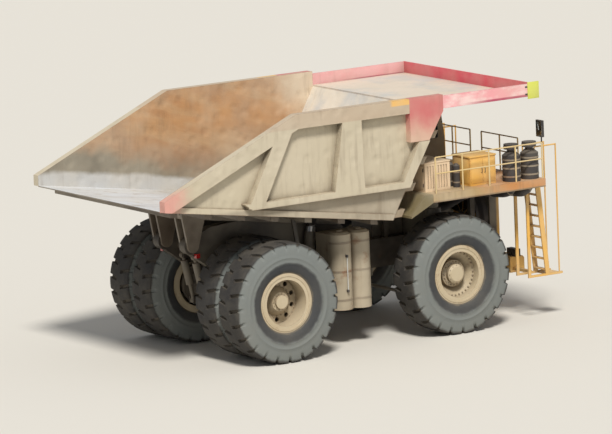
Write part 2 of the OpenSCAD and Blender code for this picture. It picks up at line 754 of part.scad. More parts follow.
// Hand rails, ladders and what stands on the deck
module rail_run(a, b, n) {
    d = (b - a) / n;
    for (i = [0:n]) bar(a + i * d, a + i * d + [0, 0, rail_h], rail_bar_r + 4);
    for (h = [rail_h, rail_h * 0.55]) bar(a + [0, 0, h], b + [0, 0, h], rail_bar_r);
}
module handrails() {
    y = deck_y - 60;
    color("goldenrod") both() {
        rail_run([deck_back_x + 150, y, deck_z], [deck_front_x - 60, y, deck_z], 4);
        rail_run([deck_front_x - 60, ladder_y - 100, deck_z], [deck_front_x - 60, 300, deck_z], 2);
    }
}
module ladder() {
    lean = 350;
    rungs = 9;
    foot_x = ladder_x + lean;
    pole_r = 22;
    pole_x = step_front_x - 110;
    post_x = deck_front_x + pole_r + fit;
    color("goldenrod") {
        for (y = [ladder_y, ladder_y + ladder_w - 40]) {
            side_plate([
                [ladder_x, deck_z - 20], [ladder_x, deck_z - 260], [foot_x - 60, ladder_foot_z],
                [foot_x + 90, ladder_foot_z], [ladder_x + 150, deck_z - 20]
            ], y, y + 40);
            // leg, foot board and hand rail
            box(deck_front_x - 350, deck_front_x - 250, y, y + 40, ladder_foot_z, deck_z - skirt_h + 50);
            box(deck_front_x - 350, step_front_x, y, y + 40, ladder_foot_z, ladder_foot_z + 70);
            bar([pole_x, y + 20, ladder_foot_z + 60], [pole_x, y + 20, deck_z + 900], pole_r);
            bar([pole_x, y + 20, deck_z + 880], [post_x, y + 20, deck_z + 880], pole_r);
            bar([post_x, y + 20, deck_z - 30], [post_x, y + 20, deck_z + 900], pole_r);
        }
        for (i = [0:rungs - 1]) {
            t = (i + 0.5) / rungs;
            z = ladder_foot_z + t * (deck_z - ladder_foot_z - 120);
            x = foot_x + 15 - t * (lean - 60);
            box(x - 90, x + 60, ladder_y + 30, ladder_y + ladder_w - 30, z, z + 30);
        }
        box(step_front_x - 500, step_front_x, ladder_y + 30, ladder_y + ladder_w - 30, ladder_foot_z,
            ladder_foot_z + 30);
        box(bumper_x + 100, bumper_x + 220, bumper_y, ladder_y + 10, nose_z - 400, nose_z - 320);
    }
}
module ladders() { both() ladder(); }
module brake_cabinet() {
    x0 = deck_back_x + 60;
    y0 = brake_cabinet_y - brake_cabinet_w;
    color("wheat") right() difference() {
        box(x0, x0 + brake_cabinet_l, y0, brake_cabinet_y, deck_z, deck_z + cabinet_h);
        for (x = [x0 + 80:louvre_pitch:x0 + brake_cabinet_l - 100])
            box(x, x + louvre_w, brake_cabinet_y - louvre_d, brake_cabinet_y + 1, deck_z + 90,
                deck_z + cabinet_h - 90);
    }
}
module battery_box() {
    x0 = front_x + 560;
    y0 = battery_box_y - battery_box_w;
    color("gold") right() box(x0, x0 + battery_box_l, y0, battery_box_y, deck_z, deck_z + cabinet_h);
}
module accumulators() {
    color("dimgray") right() for (i = [0:2])
        translate([front_x + 240, deck_y - 650 - i * bottle_pitch, deck_z]) {
            cylinder(r = bottle_r, h = bottle_h);
            translate([0, 0, bottle_h]) cylinder(r1 = bottle_r, r2 = bottle_r - 70, h = 70);
        }
}
module air_cleaners() {
    // side by side along the edge, clear of the ladder's landing
    color("darkslategray") right() for (x = cleaner_xs) translate([x, cleaner_y, deck_z]) {
        cylinder(r = cleaner_r, h = cleaner_h);
        translate([0, 0, cleaner_h]) cylinder(r1 = cleaner_r, r2 = cleaner_neck_r, h = 120);
        translate([0, 0, cleaner_h + 120]) cylinder(r = cleaner_neck_r, h = 60);
        translate([0, 0, cleaner_h + 180]) cylinder(r = cleaner_cap_r, h = 150);
    }
}
module fuel_tank() {
    x0 = tank_mid_x - 1060;
    x1 = tank_mid_x + 840;
    top = tank_z + fuel_h;
    color("goldenrod") side_plate([
        [x0 + 150, tank_z], [x1 - 150, tank_z], [x1, tank_z + 150], [x1, top - 150],
        [x1 - 150, top], [x0 + 150, top], [x0, top - 150], [x0, tank_z + 150]
    ], tank_in_y, tank_in_y + 1700);
}
module hydraulic_tank() {
    color("tan") right() for (x = [tank_mid_x - 330, tank_mid_x + 330])
        translate([x, tank_in_y + 750, tank_z]) {
        cylinder(r = tank_r, h = hydraulic_h);
        translate([-tank_r, -750, 0]) cube([2 * tank_r, 750, hydraulic_h]);
        translate([0, 0, hydraulic_h]) cylinder(r1 = tank_r - 10, r2 = tank_r - 90, h = 60);
        translate([0, 0, hydraulic_h + 60]) cylinder(r = 90, h = 50);
    }
}
module headlamps() {
    color("white") both() {
        for (y = [1120, 1380])
            translate([bumper_x + 150, y, nose_z]) box(0, 180, 0, 200, 0, 230);
        for (y = [1500, 1850])
            translate([deck_front_x, y, deck_z - 230]) rotate([0, 90, 0]) cylinder(r = 85, h = 90);
    }
}
module tail_lamps() {
    lamp_x = pivot_x + 60;
    color("firebrick") both() box(lamp_x, lamp_x + 130, rail_out + fit, rail_out + 120, pivot_z - 360,
        pivot_z - 230);
}
module mirrors() {
    color("darkslategray") both() {
        translate([deck_front_x - 60, deck_y - 60, deck_z + rail_h + rail_bar_r + fit])
            cylinder(r = 22, h = 650);
        box(deck_front_x - 110, deck_front_x - 40, deck_y - 260, deck_y + 60, deck_z + 1250, deck_z + 1750);
    }
}

// Dump body
module body_floor() {
    back = tail_x;
    color("wheat") {
        // plate
        side_plate([
            [back, floor_z(back)], [floor_front_x, floor_front_z], [floor_front_x, floor_front_z + plate_t],
            [back, floor_z(back) + plate_t]
        ], -side_y + plate_t, side_y - plate_t);
        // cross beams under the plate
        for (i = [0:bolster_count - 1]) {
            x = bolster_x(i);
            side_plate([
                [x, floor_z(x) + 5], [x + bolster_w, floor_z(x + bolster_w) + 5],
                [x + bolster_w, floor_z(x + bolster_w) - bolster_d], [x, floor_z(x) - bolster_d]
            ], -side_y + 200, side_y - 200);
        }
        both() {
            // long beams that rest over the frame rails
            side_plate([
                [beam_back_x, floor_z(beam_back_x) + 5], [beam_front_x, floor_z(beam_front_x) + 5],
                [beam_front_x, beam_z(beam_front_x)], [beam_back_x + 250, beam_z(beam_back_x + 250)]
            ], rail_y - beam_w / 2, rail_y + beam_w / 2);
            // ears and pin of the pivot
            for (y = [rail_in - step - ear_t, rail_out + step]) {
                side_plate([
                    [pivot_x - 420, floor_z(pivot_x - 420) - 20],
                    [pivot_x + 520, floor_z(pivot_x + 520) - 20],
                    [pivot_x + 190, pivot_z], [pivot_x - 190, pivot_z]
                ], y, y + ear_t);
                bar_y(pivot_x, pivot_z, 190, y, y + ear_t);
            }
            bar_y(pivot_x, pivot_z, pivot_pin_r, rail_in - step - ear_t, rail_out + step + ear_t);
            // boss that meets the hoist's upper eye
            bar_y(hoist_eye_x, hoist_eye_z, hoist_boss_r, rail_y, hoist_y - eye_t / 2 - fit);
        }
    }
}
// Side wall with its rim rail, posts and low rail
module body_side() {
    out0 = side_y - 5;
    out1 = side_y + rib_d;
    tail_top = tail_z + tail_wall_h;
    rise = (rim_z - tail_top) / (rim_corner_x - tail_x);
    // the rail's depth measured straight down on the sloping part
    drop = rim_rail_h * sqrt(1 + rise * rise);
    foot_x = tail_x + (drop - tail_wall_h + 20) / (rise + tan(floor_slope));
    rail_z = rim_z - rim_rail_h;
    low = low_rail_z + 50;
    front = front_wall_x(low_rail_z) - 30;
    side_plate([
        [tail_x, tail_z], [floor_front_x, floor_front_z], [canopy_root_x, canopy_z],
        [canopy_root_x, rim_z], [rim_corner_x, rim_z], [tail_x, tail_top]
    ], side_y - plate_t, side_y);
    // rim rail, level and then down to the tail
    side_plate([
        [tail_x, tail_top], [tail_x, tail_z + 20], [foot_x, floor_z(foot_x) + 20],
        [rim_corner_x + (drop - rim_rail_h) / rise, rail_z], [gusset_x, rail_z], [gusset_x, rim_z],
        [rim_corner_x, rim_z]
    ], out0, out1);
    // low rail
    side_plate([
        [-1150, low_rail_z], [front, low_rail_z],
        [front_wall_x(low_rail_z + low_rail_h) - 30, low_rail_z + low_rail_h],
        [-1400, low_rail_z + low_rail_h]
    ], out0, out1);
    // rear and middle posts
    for (p = side_posts) side_plate([[p[0], low], [p[1], low], [p[3], p[4]], [p[2], p[4]]], out0, out1);
    // front post, along the front wall
    post_z = gusset_low_z - 10;
    post_x = front_wall_x(post_z) - 30;
    side_plate([[front - 300, low], [front, low], [post_x, post_z], [post_x - 390, post_z]], out0, out1);
    // sill along the floor
    side_plate([
        [tail_x + 100, floor_z(tail_x + 100) + 10], [floor_front_x - 20, floor_front_z + 10],
        [floor_front_x + 60, floor_front_z + 180], [tail_x + 100, floor_z(tail_x + 100) + 180]
    ], out0, side_y + 60);
}
module body_side_left() { color("wheat") body_side(); }
module body_side_right() { color("wheat") right() body_side(); }
module canopy_gussets() {
    color("indianred") both() side_plate([
        [gusset_x + fit, rim_z], [gusset_x + fit, gusset_low_z],
        [front_wall_x(gusset_low_z) - 60, gusset_low_z],
        [canopy_root_x - 20, canopy_z - 30], [canopy_root_x - 20, rim_z]
    ], side_y + fit, side_y + rib_d);
}
module rock_ejectors() {
    x = bolster_x(4) + 60;
    end = x + ejector_w;
    color("dimgray") both() side_plate([
        [x, floor_z(x) - bolster_d - fit], [ejector_low_x, ejector_low_z],
        [ejector_low_x + ejector_w, ejector_low_z + 60],
        [end, floor_z(end) - bolster_d - fit]
    ], ejector_y - ejector_t / 2, ejector_y + ejector_t / 2);
}
module body_front() {
    lean_t = plate_t / cos(front_lean);
    rib_t = (rib_d + plate_t) / cos(front_lean);
    inner = side_y - plate_t;
    low = floor_front_z + 60;
    rib_pitch = (canopy_z - 850 - low) / 3;
    post_top = canopy_z - 450;
    color("wheat") {
        side_plate([
            [floor_front_x, floor_front_z], [floor_front_x + lean_t, floor_front_z],
            [front_wall_x(canopy_z - 1) + lean_t, canopy_z - 1], [front_wall_x(canopy_z - 1), canopy_z - 1]
        ], -inner, inner);
        for (z = [low:rib_pitch:canopy_z - 800])
            side_plate([
                [front_wall_x(z) + lean_t - 5, z], [front_wall_x(z) + rib_t, z],
                [front_wall_x(z + 220) + rib_t, z + 220], [front_wall_x(z + 220) + lean_t - 5, z + 220]
            ], -inner, inner);
        for (y = [-2300, -800, 600, 2100])
            side_plate([
                [front_wall_x(floor_front_z + 70) + lean_t - 5, floor_front_z + 70],
                [front_wall_x(floor_front_z + 70) + rib_t - 30, floor_front_z + 70],
                [front_wall_x(post_top) + rib_t - 30, post_top],
                [front_wall_x(post_top) + lean_t - 5, post_top]
            ], y, y + 200);
    }
}
module body_canopy() {
    half = side_y + 20;
    low = canopy_z + fit;
    color("antiquewhite") {
        box(canopy_root_x + fit, canopy_front_x, -half, half, low, low + plate_t);
        both() box(canopy_root_x + fit, canopy_front_x, half - 60, half, low, canopy_z + edge_h);
        box(canopy_front_x - 60, canopy_front_x, -half, half, low, canopy_z + edge_h);
        for (y = [-2400, -850, 690, 2240])
            side_plate([
                [canopy_root_x + 250, low + 5], [canopy_root_x + 250, low - 190],
                [canopy_front_x - 200, low - 70],
                [canopy_front_x - 10, low + 5]
            ], y, y + 160);
    }
}

// Hoist cylinders, drawn upright from the lower pin and then leaned
module hoist_frame() {
    translate([hoist_x, hoist_y, hoist_z]) rotate([0, hoist_lean, 0]) children();
}
module hoist_barrel() {
    color("dimgray") hoist_frame() difference() {
        union() {
            translate([0, 0, 90]) cylinder(r = hoist_r, h = barrel_l - 90);
            translate([0, -eye_t / 2, 0]) rotate([-90, 0, 0]) cylinder(r = eye_r, h = eye_t);
        }
        translate([0, -eye_t, 0]) rotate([-90, 0, 0]) cylinder(r = stub_r + run, h = 2 * eye_t);
        translate([0, 0, 180]) cylinder(r = hoist_r - stage_wall, h = barrel_l);
    }
}
module hoist_stage() {
    color("silver") hoist_frame() difference() {
        translate([0, 0, 190]) cylinder(r = hoist_r - stage_wall - run, h = stage_l);
        translate([0, 0, 240]) cylinder(r = hoist_r - 2 * stage_wall - 5, h = stage_l);
    }
}
module hoist_rod() {
    color("silver") hoist_frame() {
        translate([0, 0, 250]) cylinder(r = hoist_r - 2 * stage_wall - 5 - run, h = rod_top - 250);
        translate([0, -eye_t / 2, hoist_len]) rotate([-90, 0, 0]) cylinder(r = eye_r, h = eye_t);
        translate([-95, -eye_t / 2, rod_top - 10]) cube([190, eye_t, hoist_len - rod_top + 10]);
    }
}
module hoist_barrel_left() { hoist_barrel(); }
module hoist_barrel_right() { right() hoist_barrel(); }
module hoist_stage_left() { hoist_stage(); }
module hoist_stage_right() { right() hoist_stage(); }
module hoist_rod_left() { hoist_rod(); }
module hoist_rod_right() { right() hoist_rod(); }

place() {
    main_frame();
    front_bumper();
    front_struts();
    rear_axle();
    axle_arm();
    rear_struts();
    engine();
    radiator();
    grille();
    decks();
    hood();
    fenders();
    cab_shell();
    cab_windows();
    cab_interior();
    handrails();
    ladders();
    fuel_tank();
    hydraulic_tank();
    brake_cabinet();
    battery_box();
    accumulators();
    air_cleaners();
    headlamps();
    tail_lamps();
    mirrors();
    body_floor();
    body_side_left();
    body_side_right();
    body_front();
    body_canopy();
    canopy_gussets();
    rock_ejectors();
    hoist_barrel_left();
    hoist_barrel_right();
    hoist_stage_left();
    hoist_stage_right();
    hoist_rod_left();
    hoist_rod_right();
    knuckle_left();
    knuckle_right();
    tie_rod();
    tyre_front_left();
    tyre_front_right();
    rim_front_left();
    rim_front_right();
    tyres_rear_left();
    tyres_rear_right();
    rims_rear_left();
    rims_rear_right();
    cab_door();
    cab_door_glass();
}
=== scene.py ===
import math

import bpy
import numpy as np
from mathutils import Matrix, Vector


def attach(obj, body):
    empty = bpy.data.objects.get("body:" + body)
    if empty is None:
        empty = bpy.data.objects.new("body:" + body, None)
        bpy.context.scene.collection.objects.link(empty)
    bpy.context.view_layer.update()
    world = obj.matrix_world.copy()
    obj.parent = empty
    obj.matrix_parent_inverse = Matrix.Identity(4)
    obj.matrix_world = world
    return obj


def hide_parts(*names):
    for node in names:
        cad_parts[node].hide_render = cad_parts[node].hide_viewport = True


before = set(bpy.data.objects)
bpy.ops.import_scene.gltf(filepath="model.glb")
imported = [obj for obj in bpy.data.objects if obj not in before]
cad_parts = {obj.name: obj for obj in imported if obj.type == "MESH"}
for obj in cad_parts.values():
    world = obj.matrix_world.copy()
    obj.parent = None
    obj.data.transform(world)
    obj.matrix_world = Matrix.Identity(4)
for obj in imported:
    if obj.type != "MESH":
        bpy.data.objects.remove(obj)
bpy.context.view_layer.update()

# Places and sizes in metres: wheels, dump body, hoist rod's eye, fan and cab windows
REAR_X, FRONT_X, AXLE_Z = -3.025, 3.275, 1.785
FRONT_Y, TWIN_IN_Y, TWIN_OUT_Y, REAR_HUB_Y = 2.75, 1.75, 3.0, 2.85
TYRE_R, BEAD_R = 1.785, 0.8803
TAIL_X, FLOOR_TAIL_Z, FLOOR_SLOPE = -7.175, 4.99, 0.15124
FLOOR_FRONT_X, FLOOR_FRONT_Z, FRONT_LEAN = 0.825, 3.74, 0.57735
WALL_INSIDE_Y, EYE_Z, FAN_Z = 3.375, 3.49, 2.92
SILL_Z, HEAD_Z = 5.2, 6.15
SIDES = {"left": 1, "right": -1}
FORE, ACROSS, UP = (1, 0, 0), (0, 1, 0), (0, 0, 1)


def paint(red, green, blue):
    """Linear colour of a paint whose screen values, 0 to 255, are given."""
    c = np.array([red, green, blue]) / 255
    c = np.where(c <= 0.04045, c / 12.92, ((c + 0.055) / 1.055) ** 2.4)
    return (float(c[0]), float(c[1]), float(c[2]), 1.0)


# ---- Shapes ----

def closed_shell(points, wrap_rows=False):
    """A rows by cols grid of points whose four-sided faces join each point to its
    neighbours. It closes round its columns. Its rows close on each other, or its first and
    last row each get one flat face."""
    rows, cols = points.shape[:2]
    i, j = np.meshgrid(np.arange(rows if wrap_rows else rows - 1), np.arange(cols), indexing="ij")
    i2, j2 = (i + 1) % rows, (j + 1) % cols
    corners = [i * cols + j, i * cols + j2, i2 * cols + j2, i2 * cols + j]
    faces = np.stack(corners, -1).reshape(-1, 4).tolist()
    if not wrap_rows:
        faces += [list(range(cols)), list(range((rows - 1) * cols, rows * cols))]
    return points.reshape(-1, 3), faces


def outwards(points, faces):
    """The faces in the order that makes six times the signed volume, the sum of
    a . (b x c) over the triangles of each face, come out positive."""
    total = 0.0
    for size in {len(f) for f in faces}:
        same = np.array([f for f in faces if len(f) == size])
        corner = points[same]
        for k in range(1, size - 1):
            total += np.einsum("ij,ij->", corner[:, 0], np.cross(corner[:, k], corner[:, k + 1]))
    return faces if total > 0 else [f[::-1] for f in faces]


def fit_piece(name, shells, material, body="chassis", sharp=35):
    """One object from closed shells, each turned outwards, smooth but for edges past
    the sharp angle. It rides on the CAD body of that name."""
    points, faces, first = [], [], 0
    for shell_points, shell_faces in shells:
        faces += [[first + v for v in f] for f in outwards(shell_points, shell_faces)]
        points.append(shell_points)
        first += len(shell_points)
    mesh = bpy.data.meshes.new(name)
    mesh.from_pydata(np.concatenate(points).tolist(), [], faces)
    mesh.polygons.foreach_set("use_smooth", np.ones(len(faces), dtype=bool))
    mesh.set_sharp_from_angle(angle=math.radians(sharp))
    mesh.materials.append(material)
    piece = bpy.data.objects.new(name, mesh)
    bpy.context.scene.collection.objects.link(piece)
    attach(piece, body)
    return piece


def square_to(axis):
    """The axis as a unit vector and two unit vectors square to it and each other."""
    axis = np.array(axis, float) / np.linalg.norm(axis)
    a = np.cross(axis, UP if abs(axis[2]) < 0.9 else FORE)
    a /= np.linalg.norm(a)
    return axis, a, np.cross(axis, a)


def turned(profile, centre, axis, count=48, ring=False):
    """A profile of (radius, distance along the axis) carried round the axis: the point is
    centre + along * axis + radius * (cos t * a + sin t * b)."""
    axis, a, b = square_to(axis)
    radius, along = np.array(profile, float).T
    t = np.linspace(0, 2 * np.pi, count, endpoint=False)
    rim = np.cos(t)[:, None] * a + np.sin(t)[:, None] * b
    points = np.array(centre) + along[:, None, None] * axis + radius[:, None, None] * rim
    return closed_shell(points, ring)


def band(centre, radius, axis, half_width, thick=0.009, count=48):
    """A flat hoop round a round tank or duct: four corners turned about its axis."""
    inner, outer = radius - 0.002, radius + thick
    section = [(inner, -half_width), (outer, -half_width), (outer, half_width), (inner, half_width)]
    return turned(section, centre, axis, count, ring=True)


def tube(path, radius, side, sides=8, loop=False):
    """A round section carried along a path: path point + radius * (cos t * n + sin t * m),
    where n and m are square to the path and side is a direction it never runs in."""
    path = np.array(path, float)
    if loop:
        run = np.roll(path, -1, 0) - np.roll(path, 1, 0)
    else:
        run = np.gradient(path, axis=0)
    run /= np.linalg.norm(run, axis=1, keepdims=True)
    n = np.cross(run, side)
    n /= np.linalg.norm(n, axis=1, keepdims=True)
    m = np.cross(run, n)
    t = np.linspace(0, 2 * np.pi, sides, endpoint=False)[:, None]
    points = path[:, None] + radius * (np.cos(t) * n[:, None] + np.sin(t) * m[:, None])
    return closed_shell(points, loop)


def bend_through(points, count=40):
    """A smooth path through the points: each piece is the Catmull-Rom blend of the points
    before, at and after it."""
    p = np.array(points, float)
    p = np.concatenate([[2 * p[0] - p[1]], p, [2 * p[-1] - p[-2]]])
    t = np.linspace(0, len(p) - 3, count)
    k = np.minimum(t.astype(int), len(p) - 4)
    f = (t - k)[:, None]
    a, b, c, d = p[k], p[k + 1], p[k + 2], p[k + 3]
    return 0.5 * (2 * b + (c - a) * f + (2 * a - 5 * b + 4 * c - d) * f ** 2
                  + (3 * b - a - 3 * c + d) * f ** 3)


def bar_handle(low, high, off, bend, radius, side, count=12):
    """A bar with bent ends: a smooth tube from its foot at low, out by off and up by bend,
    straight to the same place below its other foot at high."""
    low, high, off, bend = np.array(low), np.array(high), np.array(off), np.array((0, 0, bend))
    return tube(bend_through([low, low + off + bend, high + off - bend, high], count), radius, side)


def block(low, high, radius=0.01, steps=2):
    """A box with rounded edges: every direction d of a ball, pushed out to the corner of
    the smaller box that its signs name, is corner + radius * d."""
    low, high = np.array(low, float), np.array(high, float)
    half, centre = (high - low) / 2 - radius, (high + low) / 2
    quarter = (np.arange(steps + 1) / steps) * np.pi / 2
    turn = (quarter[None] + np.arange(4)[:, None] * np.pi / 2).ravel()
    sign_x, sign_y = np.repeat([1, -1, -1, 1], steps + 1), np.repeat([1, 1, -1, -1], steps + 1)
    rise = np.concatenate([quarter - np.pi / 2, quarter])
    sign_z = np.repeat([-1, 1], steps + 1)
    grid = np.empty((len(rise), len(turn), 3))
    grid[..., 0] = half[0] * sign_x + radius * np.cos(rise)[:, None] * np.cos(turn)
    grid[..., 1] = half[1] * sign_y + radius * np.cos(rise)[:, None] * np.sin(turn)
    grid[..., 2] = (half[2] * sign_z + radius * np.sin(rise))[:, None]
    return closed_shell(grid + centre)


def hex_nuts(places, axis, across, height):
    """One six-sided nut with a domed top, copied to each place: rows of six points at
    the foot, the shoulder and the top."""
    axis, a, b = square_to(axis)
    t = np.arange(6) * np.pi / 3
    rim = np.cos(t)[:, None] * a + np.sin(t)[:, None] * b
    rows = [(across, -0.004), (across, 0.7 * height), (0.7 * across, height)]
    nut = np.stack([r * rim + h * axis for r, h in rows])
    return [closed_shell(nut + np.array(p)) for p in places]


def ring_of(centre, axis, radius, count, along):
    """Places spaced evenly round a circle about the axis."""
    axis, a, b = square_to(axis)
    t = np.arange(count) * 2 * np.pi / count
    rim = np.cos(t)[:, None] * a + np.sin(t)[:, None] * b
    return np.array(centre) + along * axis + radius * rim


def frame_round(corners, corner_r=0.05, steps=4):
    """A closed path round a window's corners. Each corner is cut by an arc: corner +
    radius * ((1 - sin t) * way back + (1 - cos t) * way on)."""
    c = np.array(corners, float)
    before, after = np.roll(c, 1, 0) - c, np.roll(c, -1, 0) - c
    before /= np.linalg.norm(before, axis=1, keepdims=True)
    after /= np.linalg.norm(after, axis=1, keepdims=True)
    t = np.linspace(0, np.pi / 2, steps + 1)[None, :, None]
    back, on = (1 - np.sin(t)) * before[:, None], (1 - np.cos(t)) * after[:, None]
    return (c[:, None] + corner_r * (back + on)).reshape(-1, 3)


def side_seal(x0, x1, y, top=HEAD_Z, radius=0.016):
    """A rubber tube round a window in the cab's side."""
    corners = [(x0, y, SILL_Z), (x1, y, SILL_Z), (x1, y, top), (x0, y, top)]
    return tube(frame_round(corners), radius, ACROSS, loop=True)


def cushion(low, high, thin, pull=0.02):
    """A crowned pad. Its plan is |a|^5 + |b|^5 = 1 drawn in by pull between the corners,
    and it swells to the middle of its thickness, along the axis numbered thin."""
    low, high = np.array(low, float), np.array(high, float)
    rise = np.linspace(-1.45, 1.45, 17)[:, None]
    t = np.linspace(0, 2 * np.pi, 48, endpoint=False)[None]
    square = (np.abs(np.cos(t)) ** 5 + np.abs(np.sin(t)) ** 5) ** -0.2
    plan = square * (1 - pull * (1 + np.cos(4 * t)))
    spread = np.cos(rise) ** 0.3
    seam = 1 - 0.012 * np.exp(-(rise / 0.12) ** 2)
    unit = np.empty(np.broadcast_shapes(rise.shape, t.shape) + (3,))
    unit[..., thin] = np.sign(rise) * np.abs(np.sin(rise)) ** 0.8
    unit[..., (thin + 1) % 3] = spread * seam * plan * np.cos(t)
    unit[..., (thin + 2) % 3] = spread * seam * plan * np.sin(t)
    return closed_shell((low + high) / 2 + unit * (high - low) / 2)


# ---- Finishes ----

class Field:
    """A value or colour that changes over the surface: one output of a node. Sums with
    fields and numbers place a Math node, and a | b is the larger of the two."""

    def __init__(self, socket):
        self.socket, self.tree = socket, socket.id_data

    def __add__(self, other):
        return worked("ADD", self, other)

    def __sub__(self, other):
        return worked("SUBTRACT", self, other)

    def __rsub__(self, other):
        return worked("SUBTRACT", other, self)

    def __mul__(self, other):
        return worked("MULTIPLY", self, other)

    def __or__(self, other):
        return worked("MAXIMUM", self, other)

    def __lt__(self, other):
        return worked("LESS_THAN", self, other)

    def __abs__(self):
        return worked("ABSOLUTE", self)

    def capped(self):
        """The same sum kept between 0 and 1."""
        self.socket.node.use_clamp = True
        return self


def place(tree, kind, links, **settings):
    """A node with its settings, and each named or numbered input linked or set."""
    made = tree.nodes.new(kind)
    for key, value in settings.items():
        setattr(made, key, value)
    for key, value in links.items():
        if isinstance(value, Field):
            tree.links.new(value.socket, made.inputs[key])
        else:
            made.inputs[key].default_value = value
    return made


def worked(operation, a, b=0.0):
    """The field that one Math node makes of a and b."""
    tree = a.tree if isinstance(a, Field) else b.tree
    return Field(place(tree, "ShaderNodeMath", {0: a, 1: b}, operation=operation).outputs[0])


def step_up(value, start, end):
    """0 before start and 1 past end, with a smooth rise between them."""
    links = {"Value": value, "From Min": start, "From Max": end}
    made = place(value.tree, "ShaderNodeMapRange", links, interpolation_type="SMOOTHSTEP")
    return Field(made.outputs["Result"])


def mix(mask, a, b):
    """a where the mask is 0 and b where it is 1."""
    links = {0: mask, 6: a, 7: b}
    return Field(place(mask.tree, "ShaderNodeMix", links, data_type="RGBA").outputs[2])


def layered(colour, *coats):
    """Each coat, a mask and a colour, laid over what is below it."""
    for mask, coat in coats:
        colour = mix(mask, colour, coat)
    return colour


def mapped(where, **turn):
    """The place on the object after a Mapping node turns or stretches it."""
    return Field(place(where.tree, "ShaderNodeMapping", {"Vector": where, **turn}).outputs[0])


def spots(where, scale, detail=4.0, rough=0.6, stretch=(1, 1, 1), tip=0.0):
    """Cloudy noise from 0 to 1 over the object, tipped about y and stretched along its axes."""
    if tip:
        where = mapped(where, Rotation=(0, tip, 0))
    if stretch != (1, 1, 1):
        where = mapped(where, Scale=stretch)
    links = {"Vector": where, "Scale": scale, "Detail": detail, "Roughness": rough}
    return Field(place(where.tree, "ShaderNodeTexNoise", links).outputs["Fac"])


def cells(where, scale, **smooth):
    """Distance from the middle of the nearest of many scattered cells, sharp or smooth."""
    links = {"Vector": where, "Scale": scale, **smooth}
    kind = "SMOOTH_F1" if smooth else "F1"
    return Field(place(where.tree, "ShaderNodeTexVoronoi", links, feature=kind).outputs["Distance"])


def ripples(where, scale, way):
    """Even waves from 0 to 1 along one axis."""
    links = {"Vector": where, "Scale": scale}
    return Field(place(where.tree, "ShaderNodeTexWave", links, bands_direction=way).outputs["Fac"])


def bumps(height, strength, distance, **over):
    """The normal of a surface with that height on it."""
    links = {"Height": height, "Strength": strength, "Distance": distance, **over}
    return Field(place(height.tree, "ShaderNodeBump", links).outputs[0])


def on_object(tree):
    """The place on the object, and its x, y and z."""
    where = Field(place(tree, "ShaderNodeTexCoord", {}).outputs["Object"])
    return (where, *map(Field, place(tree, "ShaderNodeSeparateXYZ", {0: where}).outputs))


def kept_on_mesh(tree, name):
    """The attribute of that name, which the mesh carries at each point."""
    return Field(place(tree, "ShaderNodeAttribute", {}, attribute_name=name).outputs["Fac"])


def effect(name, inputs, *outputs):
    """A node group with named inputs, each with its start value, and named outputs. Returns
    it with its inputs as fields."""
    group = bpy.data.node_groups.new(name, "ShaderNodeTree")
    for title, value in inputs.items():
        kind = "NodeSocketFloat" if isinstance(value, float) else "NodeSocketColor"
        made = group.interface.new_socket(name=title, in_out="INPUT", socket_type=kind)
        made.default_value = value
    for title in outputs:
        kind = "NodeSocketColor" if title == "Color" else "NodeSocketFloat"
        group.interface.new_socket(name=title, in_out="OUTPUT", socket_type=kind)
    given = group.nodes.new("NodeGroupInput")
    return group, {out.name: Field(out) for out in given.outputs if out.name}


def put_out(group, **fields):
    """Links a field to each of the group's outputs, and returns the group."""
    out = group.nodes.new("NodeGroupOutput")
    for title, field in fields.items():
        group.links.new(field.socket, out.inputs[title])
    return group


def make_settled_dust():
    """Dust lies on faces that look up, and is thrown up from below: the mask is
    (upward face + low place + a little everywhere) * noise * amount."""
    inputs = {"Paint": paint(128, 128, 128), "Dust": paint(188, 172, 146), "Amount": 0.5}
    group, given = effect("settled_dust", inputs, "Color", "Mask")
    where, _, _, z = on_object(group)
    normal = Field(place(group, "ShaderNodeTexCoord", {}).outputs["Normal"])
    upward = Field(place(group, "ShaderNodeSeparateXYZ", {0: normal}).outputs[2])
    mask = step_up(upward, 0.25, 0.95) * 0.75 + step_up(z, 3.6, 0.4) * 0.55 + 0.3
    cloud = step_up(spots(where, 1.1, 6.0, 0.65), 0.28, 0.72) * 0.75 + 0.3
    mask = (mask * cloud * given["Amount"]).capped()
    return put_out(group, Color=mix(mask, given["Paint"], given["Dust"]), Mask=mask)


def make_worn_edges():
    """Edges rub bare: the mask is how far the rounded normal leans from the flat one,
    broken up by noise."""
    group, given = effect("worn_edges", {"Amount": 0.6}, "Mask")
    soft = Field(place(group, "ShaderNodeBevel", {"Radius": 0.03}, samples=4).outputs[0])
    hard = Field(place(group, "ShaderNodeNewGeometry", {}).outputs["Normal"])
    both = place(group, "ShaderNodeVectorMath", {0: soft, 1: hard}, operation="DOT_PRODUCT")
    lean = step_up(1.0 - Field(both.outputs["Value"]), 0.01, 0.2)
    chips = step_up(spots(on_object(group)[0], 5.0, 6.0, 0.7), 0.35, 0.6)
    return put_out(group, Mask=(lean * chips * given["Amount"]).capped())


def make_corner_grime():
    """Dirt and painted shade in corners: the mask is how much of the sky the piece hides
    from itself, broken up by noise."""
    group, given = effect("corner_grime", {"Amount": 0.6}, "Mask")
    sky = place(group, "ShaderNodeAmbientOcclusion", {"Distance": 0.5}, samples=6, only_local=True)
    hidden = step_up(1.0 - Field(sky.outputs["AO"]), 0.12, 0.75)
    cloud = spots(on_object(group)[0], 3.0, 5.0, 0.6) * 0.9 + 0.45
    return put_out(group, Mask=(hidden * cloud * given["Amount"]).capped())


